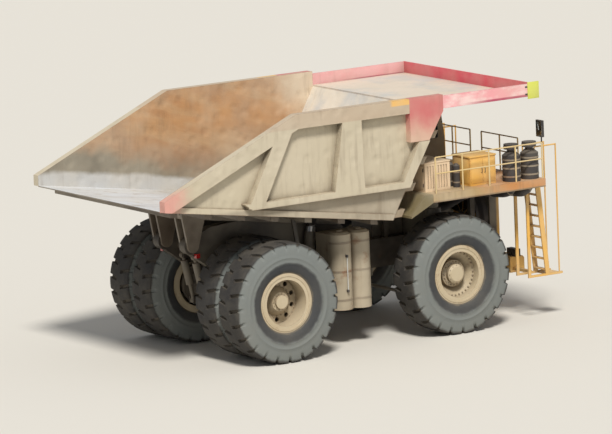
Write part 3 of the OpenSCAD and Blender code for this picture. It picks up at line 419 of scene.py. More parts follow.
def make_rain_runs():
    """Upright streaks: noise squeezed across and drawn out in height, kept where it is high."""
    group, given = effect("rain_runs", {"Amount": 0.5}, "Mask")
    where = on_object(group)[0]
    fine = step_up(spots(where, 2.2, 5.0, 0.6, (2.6, 2.6, 0.28)), 0.46, 0.72)
    broad = step_up(spots(where, 0.7, 3.0, 0.5), 0.35, 0.65)
    return put_out(group, Mask=(fine * broad * given["Amount"]).capped())


def make_rust_patches():
    """Patches with ragged edges: the mask rises where noise passes 0.92 - 0.85 * cover."""
    group, given = effect("rust_patches", {"Scale": 1.5, "Cover": 0.4}, "Mask")
    cloud = spots(on_object(group)[0], given["Scale"], 8.0, 0.68)
    level = 0.92 - given["Cover"] * 0.85
    return put_out(group, Mask=step_up(cloud, level - 0.08, level + 0.1))


def make_beaten_plate():
    """Height of a plate that rocks have struck: slow swells, round dents and grit."""
    group, given = effect("beaten_plate", {"Dents": 1.0, "Grit": 0.2}, "Height")
    where = on_object(group)[0]
    dent = cells(where, 2.6, Smoothness=0.6)
    swell = spots(where, 1.4, 2.0, 0.5) + step_up(dent, 0.05, 0.5) * 0.5
    grit = spots(where, 22.0, 6.0, 0.7) * given["Grit"]
    return put_out(group, Height=swell * given["Dents"] + grit)


def make_load_zone():
    """Where the load lies. Inside is 1 between the side walls and above the floor line,
    Low is 1 on the lower wall, Foot beside the floor, and Slide is streaks down the slope."""
    group = effect("load_zone", {}, "Inside", "Low", "Foot", "Slide")[0]
    where, x, y, z = on_object(group)
    above = z - ((x - TAIL_X) * -FLOOR_SLOPE + (FLOOR_TAIL_Z - 0.012))
    cloud = (spots(where, 0.8, 5.0, 0.6) - 0.5) * 1.6
    height = above + cloud + step_up(x, -6.0, -3.0) * 0.45
    slide = spots(where, 1.0, 6.0, 0.65, (0.3, 2.4, 1.5), -0.3)
    return put_out(group, Inside=(abs(y) < WALL_INSIDE_Y) * step_up(above, -0.004, 0.004),
                   Low=step_up(height, 1.7, 0.85), Foot=step_up(above + cloud * 0.25, 0.52, 0.34),
                   Slide=step_up(slide, 0.42, 0.66))


DUST, EDGES, CORNER_DIRT_AND_SHADE = make_settled_dust(), make_worn_edges(), make_corner_grime()
RUNS, RUST = make_rain_runs(), make_rust_patches()
BEATEN, LOAD = make_beaten_plate(), make_load_zone()
RUST_BROWN, BARE_STEEL, ROAD_DUST = paint(128, 82, 52), paint(150, 146, 140), paint(192, 176, 150)


class Finish:
    """A new material with its Principled shader, whose fixed values are given, and the ways
    that fields reach it."""

    def __init__(self, name, **fixed):
        self.material = bpy.data.materials.new(name)
        self.material.use_nodes = True
        self.tree = self.material.node_tree
        self.shader = self.tree.nodes["Principled BSDF"]
        for title, value in fixed.items():
            self.shader.inputs[title.replace("_", " ")].default_value = value

    def use(self, group, **links):
        """An effect with this material's values. Returns its outputs as fields."""
        made = place(self.tree, "ShaderNodeGroup", links, node_tree=group)
        return {out.name: Field(out) for out in made.outputs}

    def feed(self, **fields):
        """Links a field to each named input of the shader, and returns the material."""
        for title, field in fields.items():
            self.tree.links.new(field.socket, self.shader.inputs[title.replace("_", " ")])
        return self.material

    def worn(self, colour, dust=0.5, rust=0.25, runs=0.4, edges=0.6, rough=(0.5, 0.85), dents=0.3,
             grit=0.15, bump=0.02, edge_colour=RUST_BROWN, grime=0.7, bleach=0.3):
        """Carries a paint's colour through patches, runs, bare edges and dust to the shader,
        with the roughness rising where it is worn or dusty, and dents in its normal."""
        patch = self.use(RUST, Scale=1.7, Cover=rust)["Mask"]
        edge = self.use(EDGES, Amount=edges)["Mask"]
        fade = step_up(spots(on_object(self.tree)[0], 0.55, 3.0), 0.3, 0.7)
        # Bleached by the sun, then rust, run-off, corner dirt and painted shade, bare edges
        colour = layered(mix(fade * bleach, colour, paint(214, 204, 184)),
                         (patch * 0.65, RUST_BROWN),
                         (self.use(RUNS, Amount=runs)["Mask"] * 0.55, paint(104, 84, 64)),
                         (self.use(CORNER_DIRT_AND_SHADE, Amount=grime)["Mask"], paint(74, 61, 49)),
                         (edge, edge_colour))
        dusty = self.use(DUST, Paint=colour, Dust=ROAD_DUST, Amount=dust)
        spoilt = (patch | dusty["Mask"] | edge) * (rough[1] - rough[0])
        height = self.use(BEATEN, Dents=dents, Grit=grit)["Height"]
        return self.feed(Base_Color=dusty["Color"], Roughness=spoilt + rough[0],
                         Normal=bumps(height, 0.7, bump))


def painted_steel(name, colour, **wear):
    """Steel in one paint, with its own dust, rust, runs and bare edges."""
    return Finish(name, Specular_IOR_Level=0.35).worn(colour, **wear)


def body_side_finish():
    """Cream side with a pinkish tail corner, a tan rim rail and a lower band outside that is
    darker with dust and painted shade, and bare struck plate inside: tan rust above,
    rubbed grey low down."""
    steel = Finish("body_side_cream", Specular_IOR_Level=0.3)
    where, x, y, z = on_object(steel.tree)
    corner = step_up(x + spots(where, 1.5) * 1.2, -5.5, -6.4) * (y < 0.0)
    strip = step_up(x, 0.7, 0.85) * step_up(z, 7.12, 7.16) * step_up(abs(y), 3.44, 3.46)
    outer = layered(mix(step_up(z, 6.86, 6.9), paint(200, 189, 165), paint(192, 173, 150)),
                    (step_up(z, 4.75, 4.62), paint(168, 157, 138)),  # dust and painted shade below the low rail
                    (corner, paint(222, 154, 144)),
                    (strip * step_up(x, 1.44, 1.4), paint(240, 186, 96)))  # yellow on the rail
    zone = steel.use(LOAD)
    rusted = step_up(spots(where, 0.8, 7.0, 0.64), 0.35, 0.7)
    pale = step_up(z * 0.5 + x + spots(where, 0.9, 4.0) * 2.0, 5.2, 6.8)
    inner = layered(mix(rusted, paint(200, 148, 98), paint(166, 120, 82)),
                    (step_up(z, 6.6, 5.2) * 0.5, paint(140, 112, 92)),  # browner below
                    (zone["Slide"] * 0.45, paint(206, 174, 134)),  # streaks down the slope
                    (zone["Low"], paint(116, 110, 97)),  # rubbed by the load
                    (pale, paint(228, 208, 182)),  # bleached towards the front
                    (zone["Foot"], paint(196, 197, 197)))  # polished beside the floor
    return steel.worn(mix(zone["Inside"], outer, inner), dust=0.3, rust=0.2, runs=0.5, edges=0.55,
                      dents=1.0, grit=0.2, bump=0.05)


def body_floor_finish():
    """Floor plate: polished by the load on top; dark brown below, a painted shade with dust."""
    steel = Finish("body_floor_plate", Specular_IOR_Level=0.45)
    where, x, _, _ = on_object(steel.tree)
    zone = steel.use(LOAD)
    stain = step_up(spots(where, 2.0, 6.0), 0.55, 0.7)
    bright = layered(mix(step_up(x, -5.2, -1.5), paint(228, 232, 237), paint(160, 155, 146)),
                     (zone["Slide"] * 0.5, paint(192, 193, 194)),
                     (stain * 0.6, paint(150, 126, 100)))
    # Painted shade: dark brown on the floor's outside and underside
    return steel.worn(mix(zone["Inside"], paint(96, 84, 72), bright), dust=0.06, rust=0.06,
                      runs=0.0, edges=0.3, rough=(0.42, 0.85), grime=0.4, dents=0.9, grit=0.25,
                      bump=0.035, edge_colour=BARE_STEEL)


def front_wall_finish():
    """Sloping front wall: cream inside where no load rubs, grey near the floor, tan outside."""
    steel = Finish("front_wall_plate", Specular_IOR_Level=0.3)
    where, x, _, z = on_object(steel.tree)
    wall_x = (z - FLOOR_FRONT_Z) * FRONT_LEAN + FLOOR_FRONT_X
    greyed = step_up(spots(where, 0.8, 6.0), 0.4, 0.66)
    face = layered(mix(greyed, paint(234, 224, 208), paint(206, 205, 201)),
                   (step_up(z, 5.7, 4.9) * 0.5, paint(196, 160, 122)),
                   (steel.use(LOAD)["Low"] * 0.7, paint(160, 156, 146)))
    return steel.worn(mix((x - wall_x) < 0.02, paint(150, 134, 112), face), dust=0.2, rust=0.12,
                      runs=0.3, edges=0.5, dents=0.8, grit=0.25, bump=0.03, grime=0.45)


def canopy_finish():
    """Cream top with a pale grey patch, pink boards along the sides with a crimson lower
    edge towards the front, a crimson front lip, and painted shade on the underside."""
    boards = Finish("canopy_boards", Specular_IOR_Level=0.35)
    where, x, y, z = on_object(boards.tree)
    patch = step_up(spots(where, 0.45, 4.0), 0.42, 0.6)
    top = mix(patch, paint(230, 216, 198), paint(206, 204, 198))
    rubbed = step_up(spots(where, 1.3, 5.0, 0.6, (1, 1, 2)), 0.38, 0.62)
    bleached = rubbed * (1.0 - step_up(y, -1.0, 1.0) * 0.7)
    pink = mix(bleached, paint(242, 164, 170), paint(246, 214, 210))
    pink = mix(step_up(z, 6.94, 6.9) * step_up(x, 3.2, 4.6), pink, paint(178, 50, 92))
    lip = mix(rubbed * 0.3, paint(228, 46, 82), paint(236, 100, 122))
    # The last coat is painted shade: dark brown on the underside, below z 6.8505
    colour = layered(top, (step_up(abs(y), 3.352, 3.362), pink), (step_up(x, 5.955, 5.965), lip),
                     (z < 6.8505, paint(92, 78, 70)))
    return boards.worn(colour, dust=0.1, rust=0.1, runs=0.25, edges=0.35, dents=0.5, grit=0.15,
                       grime=0.4, edge_colour=paint(150, 96, 84))


def gusset_finish():
    """Faded red triangle under the canopy, paler and more tan towards its lower end."""
    steel = Finish("gusset_faded_red", Specular_IOR_Level=0.3)
    where, _, _, z = on_object(steel.tree)
    faded = step_up(z + spots(where, 1.6, 5.0) * 0.7, 7.2, 6.4)
    return steel.worn(mix(faded, paint(206, 112, 112), paint(216, 180, 158)), dust=0.2, rust=0.15,
                      runs=0.3, edges=0.4, dents=0.4)


def tyre_rubber():
    """Rubber by its distance from the axle, kept on the mesh as radius: dark beside the rim,
    grey with dust over the side wall, dark tread with dust in its grooves, both made darker
    still as painted shade."""
    rubber = Finish("tyre_rubber", Specular_IOR_Level=0.3)
    where = on_object(rubber.tree)[0]
    radius, groove = kept_on_mesh(rubber.tree, "radius"), kept_on_mesh(rubber.tree, "groove")
    cloud = spots(where, 3.0, 6.0, 0.65)
    ragged = radius + (cloud - 0.5) * 0.16
    side = mix(step_up(ragged, 1.12, 1.24), paint(58, 61, 65), paint(121, 126, 124))
    side = mix(step_up(ragged, 0.93, 0.9), side, paint(96, 90, 80))
    # Dark tread rubber and dusty grooves, both made darker still as painted shade
    tread = mix(groove, paint(44, 44, 46), paint(80, 74, 66))
    tread = mix(step_up(cloud, 0.45, 0.65) * 0.4, tread, paint(74, 71, 66))
    colour = mix(step_up(ragged, 1.66, 1.75), side, tread)
    dusty = rubber.use(DUST, Paint=colour, Dust=paint(150, 141, 124), Amount=0.2)
    rings = worked("SINE", radius * 240.0) * (step_up(radius, 1.0, 1.04) * 0.25)
    height = spots(where, 30.0, 4.0, 0.6) + rings * step_up(radius, 1.5, 1.46)
    return rubber.feed(Base_Color=dusty["Color"], Roughness=cloud * 0.2 + 0.68,
                       Normal=bumps(height, 0.5, 0.012))


def deck_plate():
    """Yellow deck, bleached along its rear part and rustier in front, with painted shade on
    its underside and a raised tread pattern: slanted cells, stretched to tears, add to the dents."""
    steel = Finish("deck_tread_plate", Specular_IOR_Level=0.35)
    where, x, y, z = on_object(steel.tree)
    rusty = step_up(x + spots(where, 1.2, 6.0) * 1.6, 4.4, 5.6)
    # Painted shade: the underside below the deck top is dark brown
    under = (abs(y) < 3.42) * (z < 4.34) * (x < 6.2)
    steel.worn(layered(mix(rusty, paint(178, 150, 104), paint(198, 128, 56)),
                       (step_up(z, 4.16, 4.12), paint(120, 92, 56)), (under, paint(54, 48, 44))),
               dust=0.45, rust=0.3, runs=0.55, edges=0.6)
    tears = step_up(cells(mapped(where, Rotation=(0, 0, 0.785), Scale=(14, 30, 14)), 1.0), 0.4, 0.2)
    dents = Field(steel.shader.inputs["Normal"].links[0].from_socket)
    return steel.feed(Normal=bumps(tears, 0.4, 0.008, Normal=dents))


def cab_finish():
    """Yellow cab, dark brown with painted shade on its rear wall and on the side by the
    engine, and darker along the bottom of its other sides."""
    steel = Finish("cab_yellow_painted_shade", Specular_IOR_Level=0.35)
    where, x, y, z = on_object(steel.tree)
    cloud = spots(where, 1.5, 5.0) * 0.25
    # Painted shade, dark brown on the rear wall and the side by the engine; darker along the bottom
    # too
    shade_and_dark_foot = step_up(x + cloud, 4.1, 3.9) | step_up(z, 4.9, 4.4) * 0.35 | step_up(y + cloud, 1.3, 1.1)
    return steel.worn(mix(shade_and_dark_foot * 0.82, paint(228, 176, 76), paint(58, 50, 44)), dust=0.35, rust=0.2,
                      runs=0.45, edges=0.7)


def radiator_finish():
    """Yellow in front; black on the sides and back as painted shade."""
    steel = Finish("radiator_yellow_and_painted_shade", Specular_IOR_Level=0.35)
    where, x, _, _ = on_object(steel.tree)
    front = step_up(x + spots(where, 2.0, 5.0) * 0.1, 6.2, 6.28)
    # Painted shade: black on the sides and back, yellow only in front
    return steel.worn(mix(front, paint(46, 42, 40), paint(226, 172, 72)), dust=0.35, rust=0.2,
                      runs=0.4, edges=0.6)


def chrome_rod():
    """Ground and plated rod with a thin film of dust, and dark greasy paint on its eye."""
    rod = Finish("hoist_rod_chrome")
    where, _, _, z = on_object(rod.tree)
    eye = step_up(z, EYE_Z - 0.005, EYE_Z + 0.005)
    film = spots(where, 3.0, 5.0, 0.6, (1, 1, 0.3))
    rings = spots(where, 60.0, 2.0, 0.5, (0.2, 0.2, 3))
    bare = mix(step_up(film, 0.45, 0.75), paint(196, 198, 200), paint(150, 142, 130))
    greased = mix(step_up(film, 0.4, 0.7), paint(84, 78, 70), paint(52, 46, 42))
    return rod.feed(Base_Color=mix(eye, bare, greased), Metallic=1.0 - eye,
                    Roughness=film * 0.3 + 0.12 + eye * 0.45, Normal=bumps(rings, 0.1, 0.002))


def window_glass():
    """Tinted glass, dusty in patches."""
    glass = Finish("cab_window_glass", Metallic=0.0, Transmission_Weight=0.9, IOR=1.45)
    dusty = step_up(spots(on_object(glass.tree)[0], 2.0, 5.0, 0.6), 0.45, 0.8)
    return glass.feed(Base_Color=mix(dusty, paint(150, 170, 172), paint(190, 182, 166)),
                      Roughness=dusty * 0.35 + 0.04)


def lamp_glass(name, colour):
    """Lens glass in one colour, fluted by even waves and darker along each flute."""
    lens = Finish(name, Coat_Weight=0.6, Coat_Roughness=0.08)
    flutes = ripples(on_object(lens.tree)[0], 14.0, "Y")
    shaded = tuple(0.6 * c for c in colour[:3]) + (1.0,)
    return lens.feed(Base_Color=mix(flutes, colour, shaded), Roughness=flutes * 0.15 + 0.1,
                     Normal=bumps(flutes, 0.3, 0.004))


def seat_cloth():
    """Woven seat cloth: crossed fine waves for the threads, and dust in patches."""
    cloth = Finish("seat_cloth", Sheen_Weight=0.3)
    where = on_object(cloth.tree)[0]
    weave = ripples(where, 60.0, "X") * ripples(where, 60.0, "Y")
    soil = step_up(spots(where, 4.0, 4.0), 0.4, 0.7)
    threads = mix(weave, paint(44, 44, 48), paint(74, 74, 78))
    return cloth.feed(Base_Color=mix(soil * 0.3, threads, paint(112, 102, 88)),
                      Roughness=weave * 0.1 + 0.82, Normal=bumps(weave, 0.4, 0.002))


def moulded_trim(name, colour):
    """Moulded plastic with a fine pebble grain."""
    trim = Finish(name, Specular_IOR_Level=0.4)
    pebble = cells(on_object(trim.tree)[0], 120.0)
    dusty = trim.use(DUST, Paint=colour, Dust=ROAD_DUST, Amount=0.3)
    return trim.feed(Base_Color=dusty["Color"], Roughness=pebble * 0.2 + 0.5,
                     Normal=bumps(pebble, 0.2, 0.001))


def mirror_face():
    """Silvered mirror with a film of dust in patches."""
    face = Finish("mirror_face", Metallic=1.0)
    film = step_up(spots(on_object(face.tree)[0], 3.0, 5.0), 0.4, 0.8)
    return face.feed(Base_Color=mix(film, paint(210, 214, 216), paint(176, 168, 152)),
                     Roughness=film * 0.3 + 0.04)


YELLOW = painted_steel("yellow_body_paint", paint(236, 180, 74), dust=0.36, rust=0.2, runs=0.4,
                       edges=0.7, grime=0.55)
RAIL_YELLOW = painted_steel("hand_rail_faded_yellow", paint(222, 194, 134), dust=0.35, rust=0.25,
                            runs=0.2, edges=0.3)
# Fenders darkened to a dark olive as painted shade below the deck
FENDER = painted_steel("fender_olive_painted_shade", paint(112, 100, 66), dust=0.35, rust=0.3, runs=0.5,
                       edges=0.5, edge_colour=paint(70, 60, 50))
# Black-brown frame paint, made darker still with little bleach as painted shade under the body
DARK_STEEL = painted_steel("frame_black_brown_painted_shade", paint(40, 36, 35), dust=0.22, rust=0.25, runs=0.2,
                           edges=0.3, bleach=0.15, edge_colour=paint(84, 70, 58))
STRUT_GREY = painted_steel("strut_grey", paint(84, 78, 70), dust=0.35, rust=0.25, runs=0.2,
                           edges=0.3)
RIM_CREAM = painted_steel("rim_cream", paint(190, 174, 142), dust=0.4, rust=0.35, runs=0.2,
                          edges=0.7, dents=0.2)
TANK_TAN = painted_steel("tank_tan", paint(164, 152, 130), dust=0.45, rust=0.35, runs=0.7,
                         edges=0.5)
CREAM = painted_steel("cabinet_cream", paint(240, 212, 176), dust=0.35, rust=0.15, runs=0.4,
                      edges=0.5)
IRON = painted_steel("engine_iron", paint(70, 66, 60), dust=0.35, rust=0.3, runs=0.2, edges=0.3)
BLACK = painted_steel("black_fittings", paint(38, 38, 46), dust=0.2, rust=0.1, runs=0.1, edges=0.3,
                      bleach=0.06, edge_colour=paint(110, 104, 96))
SIDE, FLOOR, WALL = body_side_finish(), body_floor_finish(), front_wall_finish()
CANOPY, GUSSET, DECK, CAB = canopy_finish(), gusset_finish(), deck_plate(), cab_finish()
RADIATOR = radiator_finish()
RUBBER, CHROME, GLASS = tyre_rubber(), chrome_rod(), window_glass()
LENS = lamp_glass("headlamp_lens", paint(226, 228, 224))
RED_LENS = lamp_glass("tail_lamp_red", paint(176, 30, 28))
AMBER = lamp_glass("beacon_amber", paint(240, 150, 40))
LIME = painted_steel("marker_lime", paint(214, 222, 40), dust=0.12, rust=0.05, runs=0.1, edges=0.3)
CLOTH, TRIM, MIRROR = seat_cloth(), moulded_trim("cab_trim_grey", paint(96, 94, 90)), mirror_face()
NUT_STEEL = painted_steel("wheel_nut_steel", paint(120, 108, 92), dust=0.35, rust=0.4, runs=0.1,
                          edges=0.4)

# The finish of each CAD node. A left and a right one have the same.
NODE_FINISH = {
    "main_frame": DARK_STEEL, "front_bumper": YELLOW, "front_struts": STRUT_GREY,
    "rear_axle": DARK_STEEL, "axle_arm": DARK_STEEL, "rear_struts": STRUT_GREY, "engine": IRON,
    "radiator": RADIATOR, "grille": BLACK, "decks": DECK, "hood": YELLOW, "fenders": FENDER,
    "cab_shell": CAB, "cab_windows": GLASS, "cab_interior": TRIM, "cab_door": YELLOW,
    "cab_door_glass": GLASS, "handrails": RAIL_YELLOW, "ladders": YELLOW, "fuel_tank": YELLOW,
    "hydraulic_tank": TANK_TAN, "brake_cabinet": CREAM, "battery_box": YELLOW,
    "accumulators": BLACK, "air_cleaners": BLACK, "headlamps": BLACK, "tail_lamps": RED_LENS,
    "mirrors": BLACK, "body_floor": FLOOR, "body_side": SIDE, "body_front": WALL,
    "body_canopy": CANOPY, "canopy_gussets": GUSSET, "rock_ejectors": DARK_STEEL,
    "hoist_barrel": STRUT_GREY, "hoist_stage": CHROME, "hoist_rod": CHROME, "knuckle": STRUT_GREY,
    "tie_rod": STRUT_GREY, "tyre_front": RUBBER, "tyres_rear": RUBBER, "rim_front": RIM_CREAM,
    "rims_rear": RIM_CREAM,
}
for name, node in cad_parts.items():
    for slot in node.material_slots:
        slot.material = NODE_FINISH[name.removesuffix("_left").removesuffix("_right")]


# ---- Tyres and wheels ----

LUGS, LUG_DEPTH, LUG_LEAN = 24, 0.08, math.radians(12)
# Outline of a lock ring, as (radius, distance out from the wheel's middle)
LOCK_RING = [(0.775, 0.43), (0.785, 0.452), (0.835, 0.452), (0.85, 0.43)]
# Circles of nuts and bolts: radius, count, distance out from the hub, a nut's reach and height
FRONT_NUTS = [(0.345, 20, 0.108, 0.026, 0.035), (0.645, 32, 0.17, 0.026, 0.035),
              (0.255, 12, 0.279, 0.016, 0.018)]
REAR_NUTS = [(0.457, 20, 0.03, 0.022, 0.035), (0.655, 30, 0.03, 0.02, 0.03),
             (0.24, 14, 0.26, 0.017, 0.02)]


def tyre_profile():
    """Half the tyre's outline from the middle of the tread to the bead and back inside, as
    (distance from the axle, half width, share of the groove's depth). The side wall is an
    arc: half width = sqrt(1.4^2 - (r - 1.33)^2) - 0.85."""
    def wall(r, proud=0.0):
        return math.sqrt(1.96 - (r - 1.33) ** 2) - 0.85 + proud
    tread = [(TYRE_R, 0.0, 0), (TYRE_R, 0.088, 0), (1.784, 0.112, 1), (1.781, 0.28, 1),
             (1.776, 0.42, 1), (1.762, 0.475, 1), (1.742, 0.50, 1)]
    fading = ((1.71, 0.95), (1.67, 0.8), (1.63, 0.55), (1.59, 0.2), (1.55, 0))
    upper = [(r, wall(r), share) for r, share in fading]
    rings = [(1.46, 0), (1.37, 0), (1.355, 0.009), (1.325, 0.009), (1.31, 0), (1.22, 0),
             (1.205, 0.008), (1.185, 0.008), (1.17, 0), (1.08, 0), (1.0, 0)]
    lower = [(r, wall(r, proud), 0) for r, proud in rings]
    bead = [(0.94, 0.478, 0), (0.90, 0.452, 0), (BEAD_R, 0.4347, 0), (BEAD_R, 0.3897, 0),
            (0.80, 0.3897, 0), (0.7403, 0.385, 0), (0.7403, 0.29, 0), (0.86, 0.32, 0),
            (1.0, 0.385, 0), (1.3, 0.40, 0), (1.5, 0.37, 0), (1.55, 0.2, 0), (1.56, 0.0, 0)]
    return np.array(tread + upper + lower + bead)


def tyre_shell(centre):
    """The outline carried round the axle, pressed in by the groove's depth where a column
    lies in a groove. The columns lean with the lugs: turn = column + slant * half width,
    and one side's grooves lie half a pitch from the other's."""
    half = tyre_profile()
    section = np.concatenate([half, (half * [1, -1, 1])[-2:0:-1]])
    radius, width, share = section.T
    run = np.roll(section[:, :2], -1, 0) - np.roll(section[:, :2], 1, 0)
    run /= np.linalg.norm(run, axis=1, keepdims=True)
    inward = np.stack([run[:, 1], -run[:, 0]], 1)
    # Turn it round where it points away from the middle of the section, 1.3 m from the axle
    facing_out = inward[:, :1] * (radius - 1.3)[:, None] + inward[:, 1:] * width[:, None] > 0
    inward *= np.where(facing_out, -1, 1)
    # Columns of half a pitch. The groove has its floor between the third and the fourth.
    steps = np.array([0.0, 0.118, 0.155, 0.345, 0.382, 0.44])
    column = (np.arange(LUGS)[:, None] + np.concatenate([steps, steps + 0.5])).ravel()
    in_pitch = column % 1.0
    one = ((in_pitch > 0.15) & (in_pitch < 0.35)).astype(float)
    other = ((in_pitch > 0.65) & (in_pitch < 0.85)).astype(float)
    groove = np.where(width[:, None] > 0, one, other) * share[:, None]
    r = radius[:, None] + LUG_DEPTH * groove * inward[:, :1]
    w = width[:, None] + LUG_DEPTH * groove * inward[:, 1:]
    turn = column * 2 * np.pi / LUGS + math.tan(LUG_LEAN) * np.abs(width)[:, None] / TYRE_R
    x, y, z = centre
    points = np.stack([x + r * np.sin(turn), y + w + 0 * turn, z + r * np.cos(turn)], -1)
    points, faces = closed_shell(points, wrap_rows=True)
    return points, faces, np.broadcast_to(radius[:, None], r.shape).ravel(), groove.ravel()


def fit_tyres(name, centres, body, node):
    """Tyres in place of a CAD node, with each point's radius and groove kept on the mesh."""
    made = [tyre_shell(centre) for centre in centres]
    piece = fit_piece(name, [m[:2] for m in made], RUBBER, body, sharp=40)
    for title, column in (("radius", 2), ("groove", 3)):
        values = np.concatenate([m[column] for m in made]).astype(np.float32)
        piece.data.attributes.new(title, "FLOAT", "POINT").data.foreach_set("value", values)
    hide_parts(node)


def wheel_fittings(which, body, hub, rim, circles):
    """Wheel nuts and cover bolts in circles about the hub, and the lock ring on the rim."""
    out = (0, np.sign(hub[1]), 0)
    nuts = [nut for radius, count, along, across, height in circles
            for nut in hex_nuts(ring_of(hub, out, radius, count, along), out, across, height)]
    fit_piece("wheel_nuts_" + which, nuts, NUT_STEEL, body)
    lock = turned(LOCK_RING, rim, out, 72, ring=True)
    fit_piece("lock_ring_" + which, [lock], RIM_CREAM, body)


for side, sign in SIDES.items():
    front, hub, inner, outer = [
        (x, sign * y, AXLE_Z) for x, y in
        ((FRONT_X, FRONT_Y), (REAR_X, REAR_HUB_Y), (REAR_X, TWIN_IN_Y), (REAR_X, TWIN_OUT_Y))]
    front_body, rear_body = "wheel_front_" + side, "wheels_rear_" + side
    fit_tyres("lugged_tyre_front_" + side, [front], front_body, "tyre_front_" + side)
    fit_tyres("lugged_tyres_rear_" + side, [inner, outer], rear_body, "tyres_rear_" + side)
    wheel_fittings("front_" + side, front_body, front, front, FRONT_NUTS)
    wheel_fittings("rear_" + side, rear_body, hub, outer, REAR_NUTS)


# ---- Front end, deck and cab ----

def radiator_core():
    """Upright cooling tubes behind the grille bars."""
    tubes = [tube([(6.162, y, 1.86), (6.162, y, 3.96)], 0.009, ACROSS, 4)
             for y in np.linspace(-0.86, 0.86, 58)]
    fit_piece("radiator_core", tubes, BLACK)


def lamps():
    """Lenses on the square and round head lamps, with a rim round each round one."""
    square = [block((6.598, sign * y - 0.085, 1.735), (6.614, sign * y + 0.085, 1.935), 0.006)
              for sign in SIDES.values() for y in (1.22, 1.48)]
    places = [(6.362, sign * y, 4.12) for sign in SIDES.values() for y in (1.5, 1.85)]
    dome = [(0.072, 0), (0.07, 0.006), (0.05, 0.014), (0.012, 0.018)]
    rim = [(0.07, 0.0), (0.07, 0.012), (0.088, 0.012), (0.09, 0.0)]
    lenses = square + [turned(dome, at, FORE, 32) for at in places]
    fit_piece("headlamp_lenses", lenses, LENS)
    rims = [turned(rim, at, FORE, 32, ring=True) for at in places]
    fit_piece("headlamp_rims", rims, BLACK)


def mirror_faces():
    """Silvered plates on the back of the mirrors' heads."""
    widths = [sorted((sign * 3.26, sign * 3.54)) for sign in SIDES.values()]
    plates = [block((6.157, y0, 5.62), (6.167, y1, 6.08), 0.004) for y0, y1 in widths]
    fit_piece("mirror_faces", plates, MIRROR)


def air_intake():
    """Ducts from the air cleaners down through the deck and in to the engine, with clamps."""
    front = [(5.96, -3.12, 4.3), (5.94, -3.12, 4.12), (5.74, -3.05, 3.95), (5.65, -2.6, 3.92),
             (5.55, -1.8, 3.9), (5.15, -0.95, 3.72), (4.5, -0.5, 3.35)]
    rear = [(5.315, -3.12, 4.3), (5.315, -3.1, 4.1), (5.25, -2.8, 3.95), (5.15, -2.1, 3.9),
            (5.0, -1.3, 3.8), (4.6, -0.75, 3.45), (4.3, -0.5, 3.3)]
    paths = [bend_through(front), bend_through(rear)]
    ducts = [tube(path, 0.13, (0.3, 0.2, 1.0), 20) for path in paths]
    clamps = [band(path[k], 0.132, path[k + 1] - path[k - 1], 0.02, 0.006, 24)
              for path in paths for k in (9, 18, 27)]
    fit_piece("intake_ducts", ducts, BLACK)
    fit_piece("intake_duct_clamps", clamps, NUT_STEEL)


def cooling_fan():
    """Shroud, eight blades, shaft and the engine's front cover. A blade's corners are middle
    +- chord +- thickness, with the chord turning from steep at the hub to flat at the tip."""
    shroud = turned([(0.93, 0.33), (0.9, 0.2), (0.78, 0.1), (0.78, 0.0), (0.76, 0.0), (0.76, 0.12),
                     (0.88, 0.22), (0.91, 0.33)], (5.6, 0, FAN_Z), FORE, ring=True)
    fit_piece("fan_shroud", [shroud], BLACK)
    reach, lean = np.linspace(0.1, 0.72, 7), np.linspace(0.9, 0.35, 7)
    cos, sin = np.cos(lean), np.sin(lean)
    blades = []
    for t in np.arange(8) * np.pi / 4:
        chord = np.stack([-sin, cos * -math.sin(t), cos * math.cos(t)], -1) * 0.13
        thick = np.stack([cos, sin * -math.sin(t), sin * math.cos(t)], -1) * 0.008
        middle = [np.full(7, 5.66), reach * math.cos(t), FAN_Z + reach * math.sin(t)]
        back, front = np.stack(middle, -1) - chord, np.stack(middle, -1) + chord
        corners = [back - thick, front - thick, front + thick, back + thick]
        blades.append(closed_shell(np.stack(corners, 1)))
    fit_piece("fan_blades", blades, YELLOW)
    hub = [(0.16, 0), (0.16, 0.14), (0.12, 0.18), (0.02, 0.2)]
    cover = [turned(hub, (5.58, 0, FAN_Z), FORE, 32),
             turned([(0.06, 0), (0.06, 0.5)], (5.1, 0, FAN_Z), FORE, 24),
             block((4.56, -0.42, 2.3), (4.95, 0.42, 3.45), 0.06, 3),
             block((4.9, -0.25, 2.6), (5.15, 0.25, 3.2), 0.05, 3)]
    fit_piece("engine_front_cover", cover, IRON)


def tank_fittings():
    """Hoops and sight glass on the hydraulic tank, straps and filler cap on the fuel tank. A
    strap's corners are middle + (tank's corner - middle) * growth."""
    hoops = [band((x, -2.2, z), 0.335, UP, 0.03) for x in (-0.295, 0.365) for z in (1.4, 2.25, 3.1)]
    fit_piece("hydraulic_tank_hoops", hoops, NUT_STEEL)
    x, y = -0.295, -2.585
    glass = tube([(x, y, 1.7), (x, y, 2.7)], 0.014, FORE, 10)
    ends = [block((x - 0.03, y - 0.03, z - 0.04), (x + 0.03, y + 0.06, z + 0.04), 0.008)
            for z in (1.68, 2.72)]
    fit_piece("sight_glass_tube", [glass], LENS)
    fit_piece("sight_glass_ends", ends, BLACK)
    corners = np.array([(-0.875, 1.1), (0.725, 1.1), (0.875, 1.25), (0.875, 2.7), (0.725, 2.85),
                        (-0.875, 2.85), (-1.025, 2.7), (-1.025, 1.25)])
    middle = corners.mean(0)
    straps = []
    for y in (1.75, 2.3, 2.85):
        rows = []
        for growth, dy in ((0.997, -0.05), (1.012, -0.05), (1.012, 0.05), (0.997, 0.05)):
            loop = middle + (corners - middle) * growth
            rows.append(np.stack([loop[:, 0], np.full(8, y + dy), loop[:, 1]], -1))
        straps.append(closed_shell(np.stack(rows), wrap_rows=True))
    fit_piece("fuel_tank_straps", straps, BLACK, sharp=20)
    cap = [(0.09, 0), (0.09, 0.03), (0.075, 0.035), (0.075, 0.07), (0.06, 0.085), (0.012, 0.087)]
    fit_piece("fuel_filler_cap", [turned(cap, (-0.4, 2.85, 2.85), UP, 24)], BLACK)


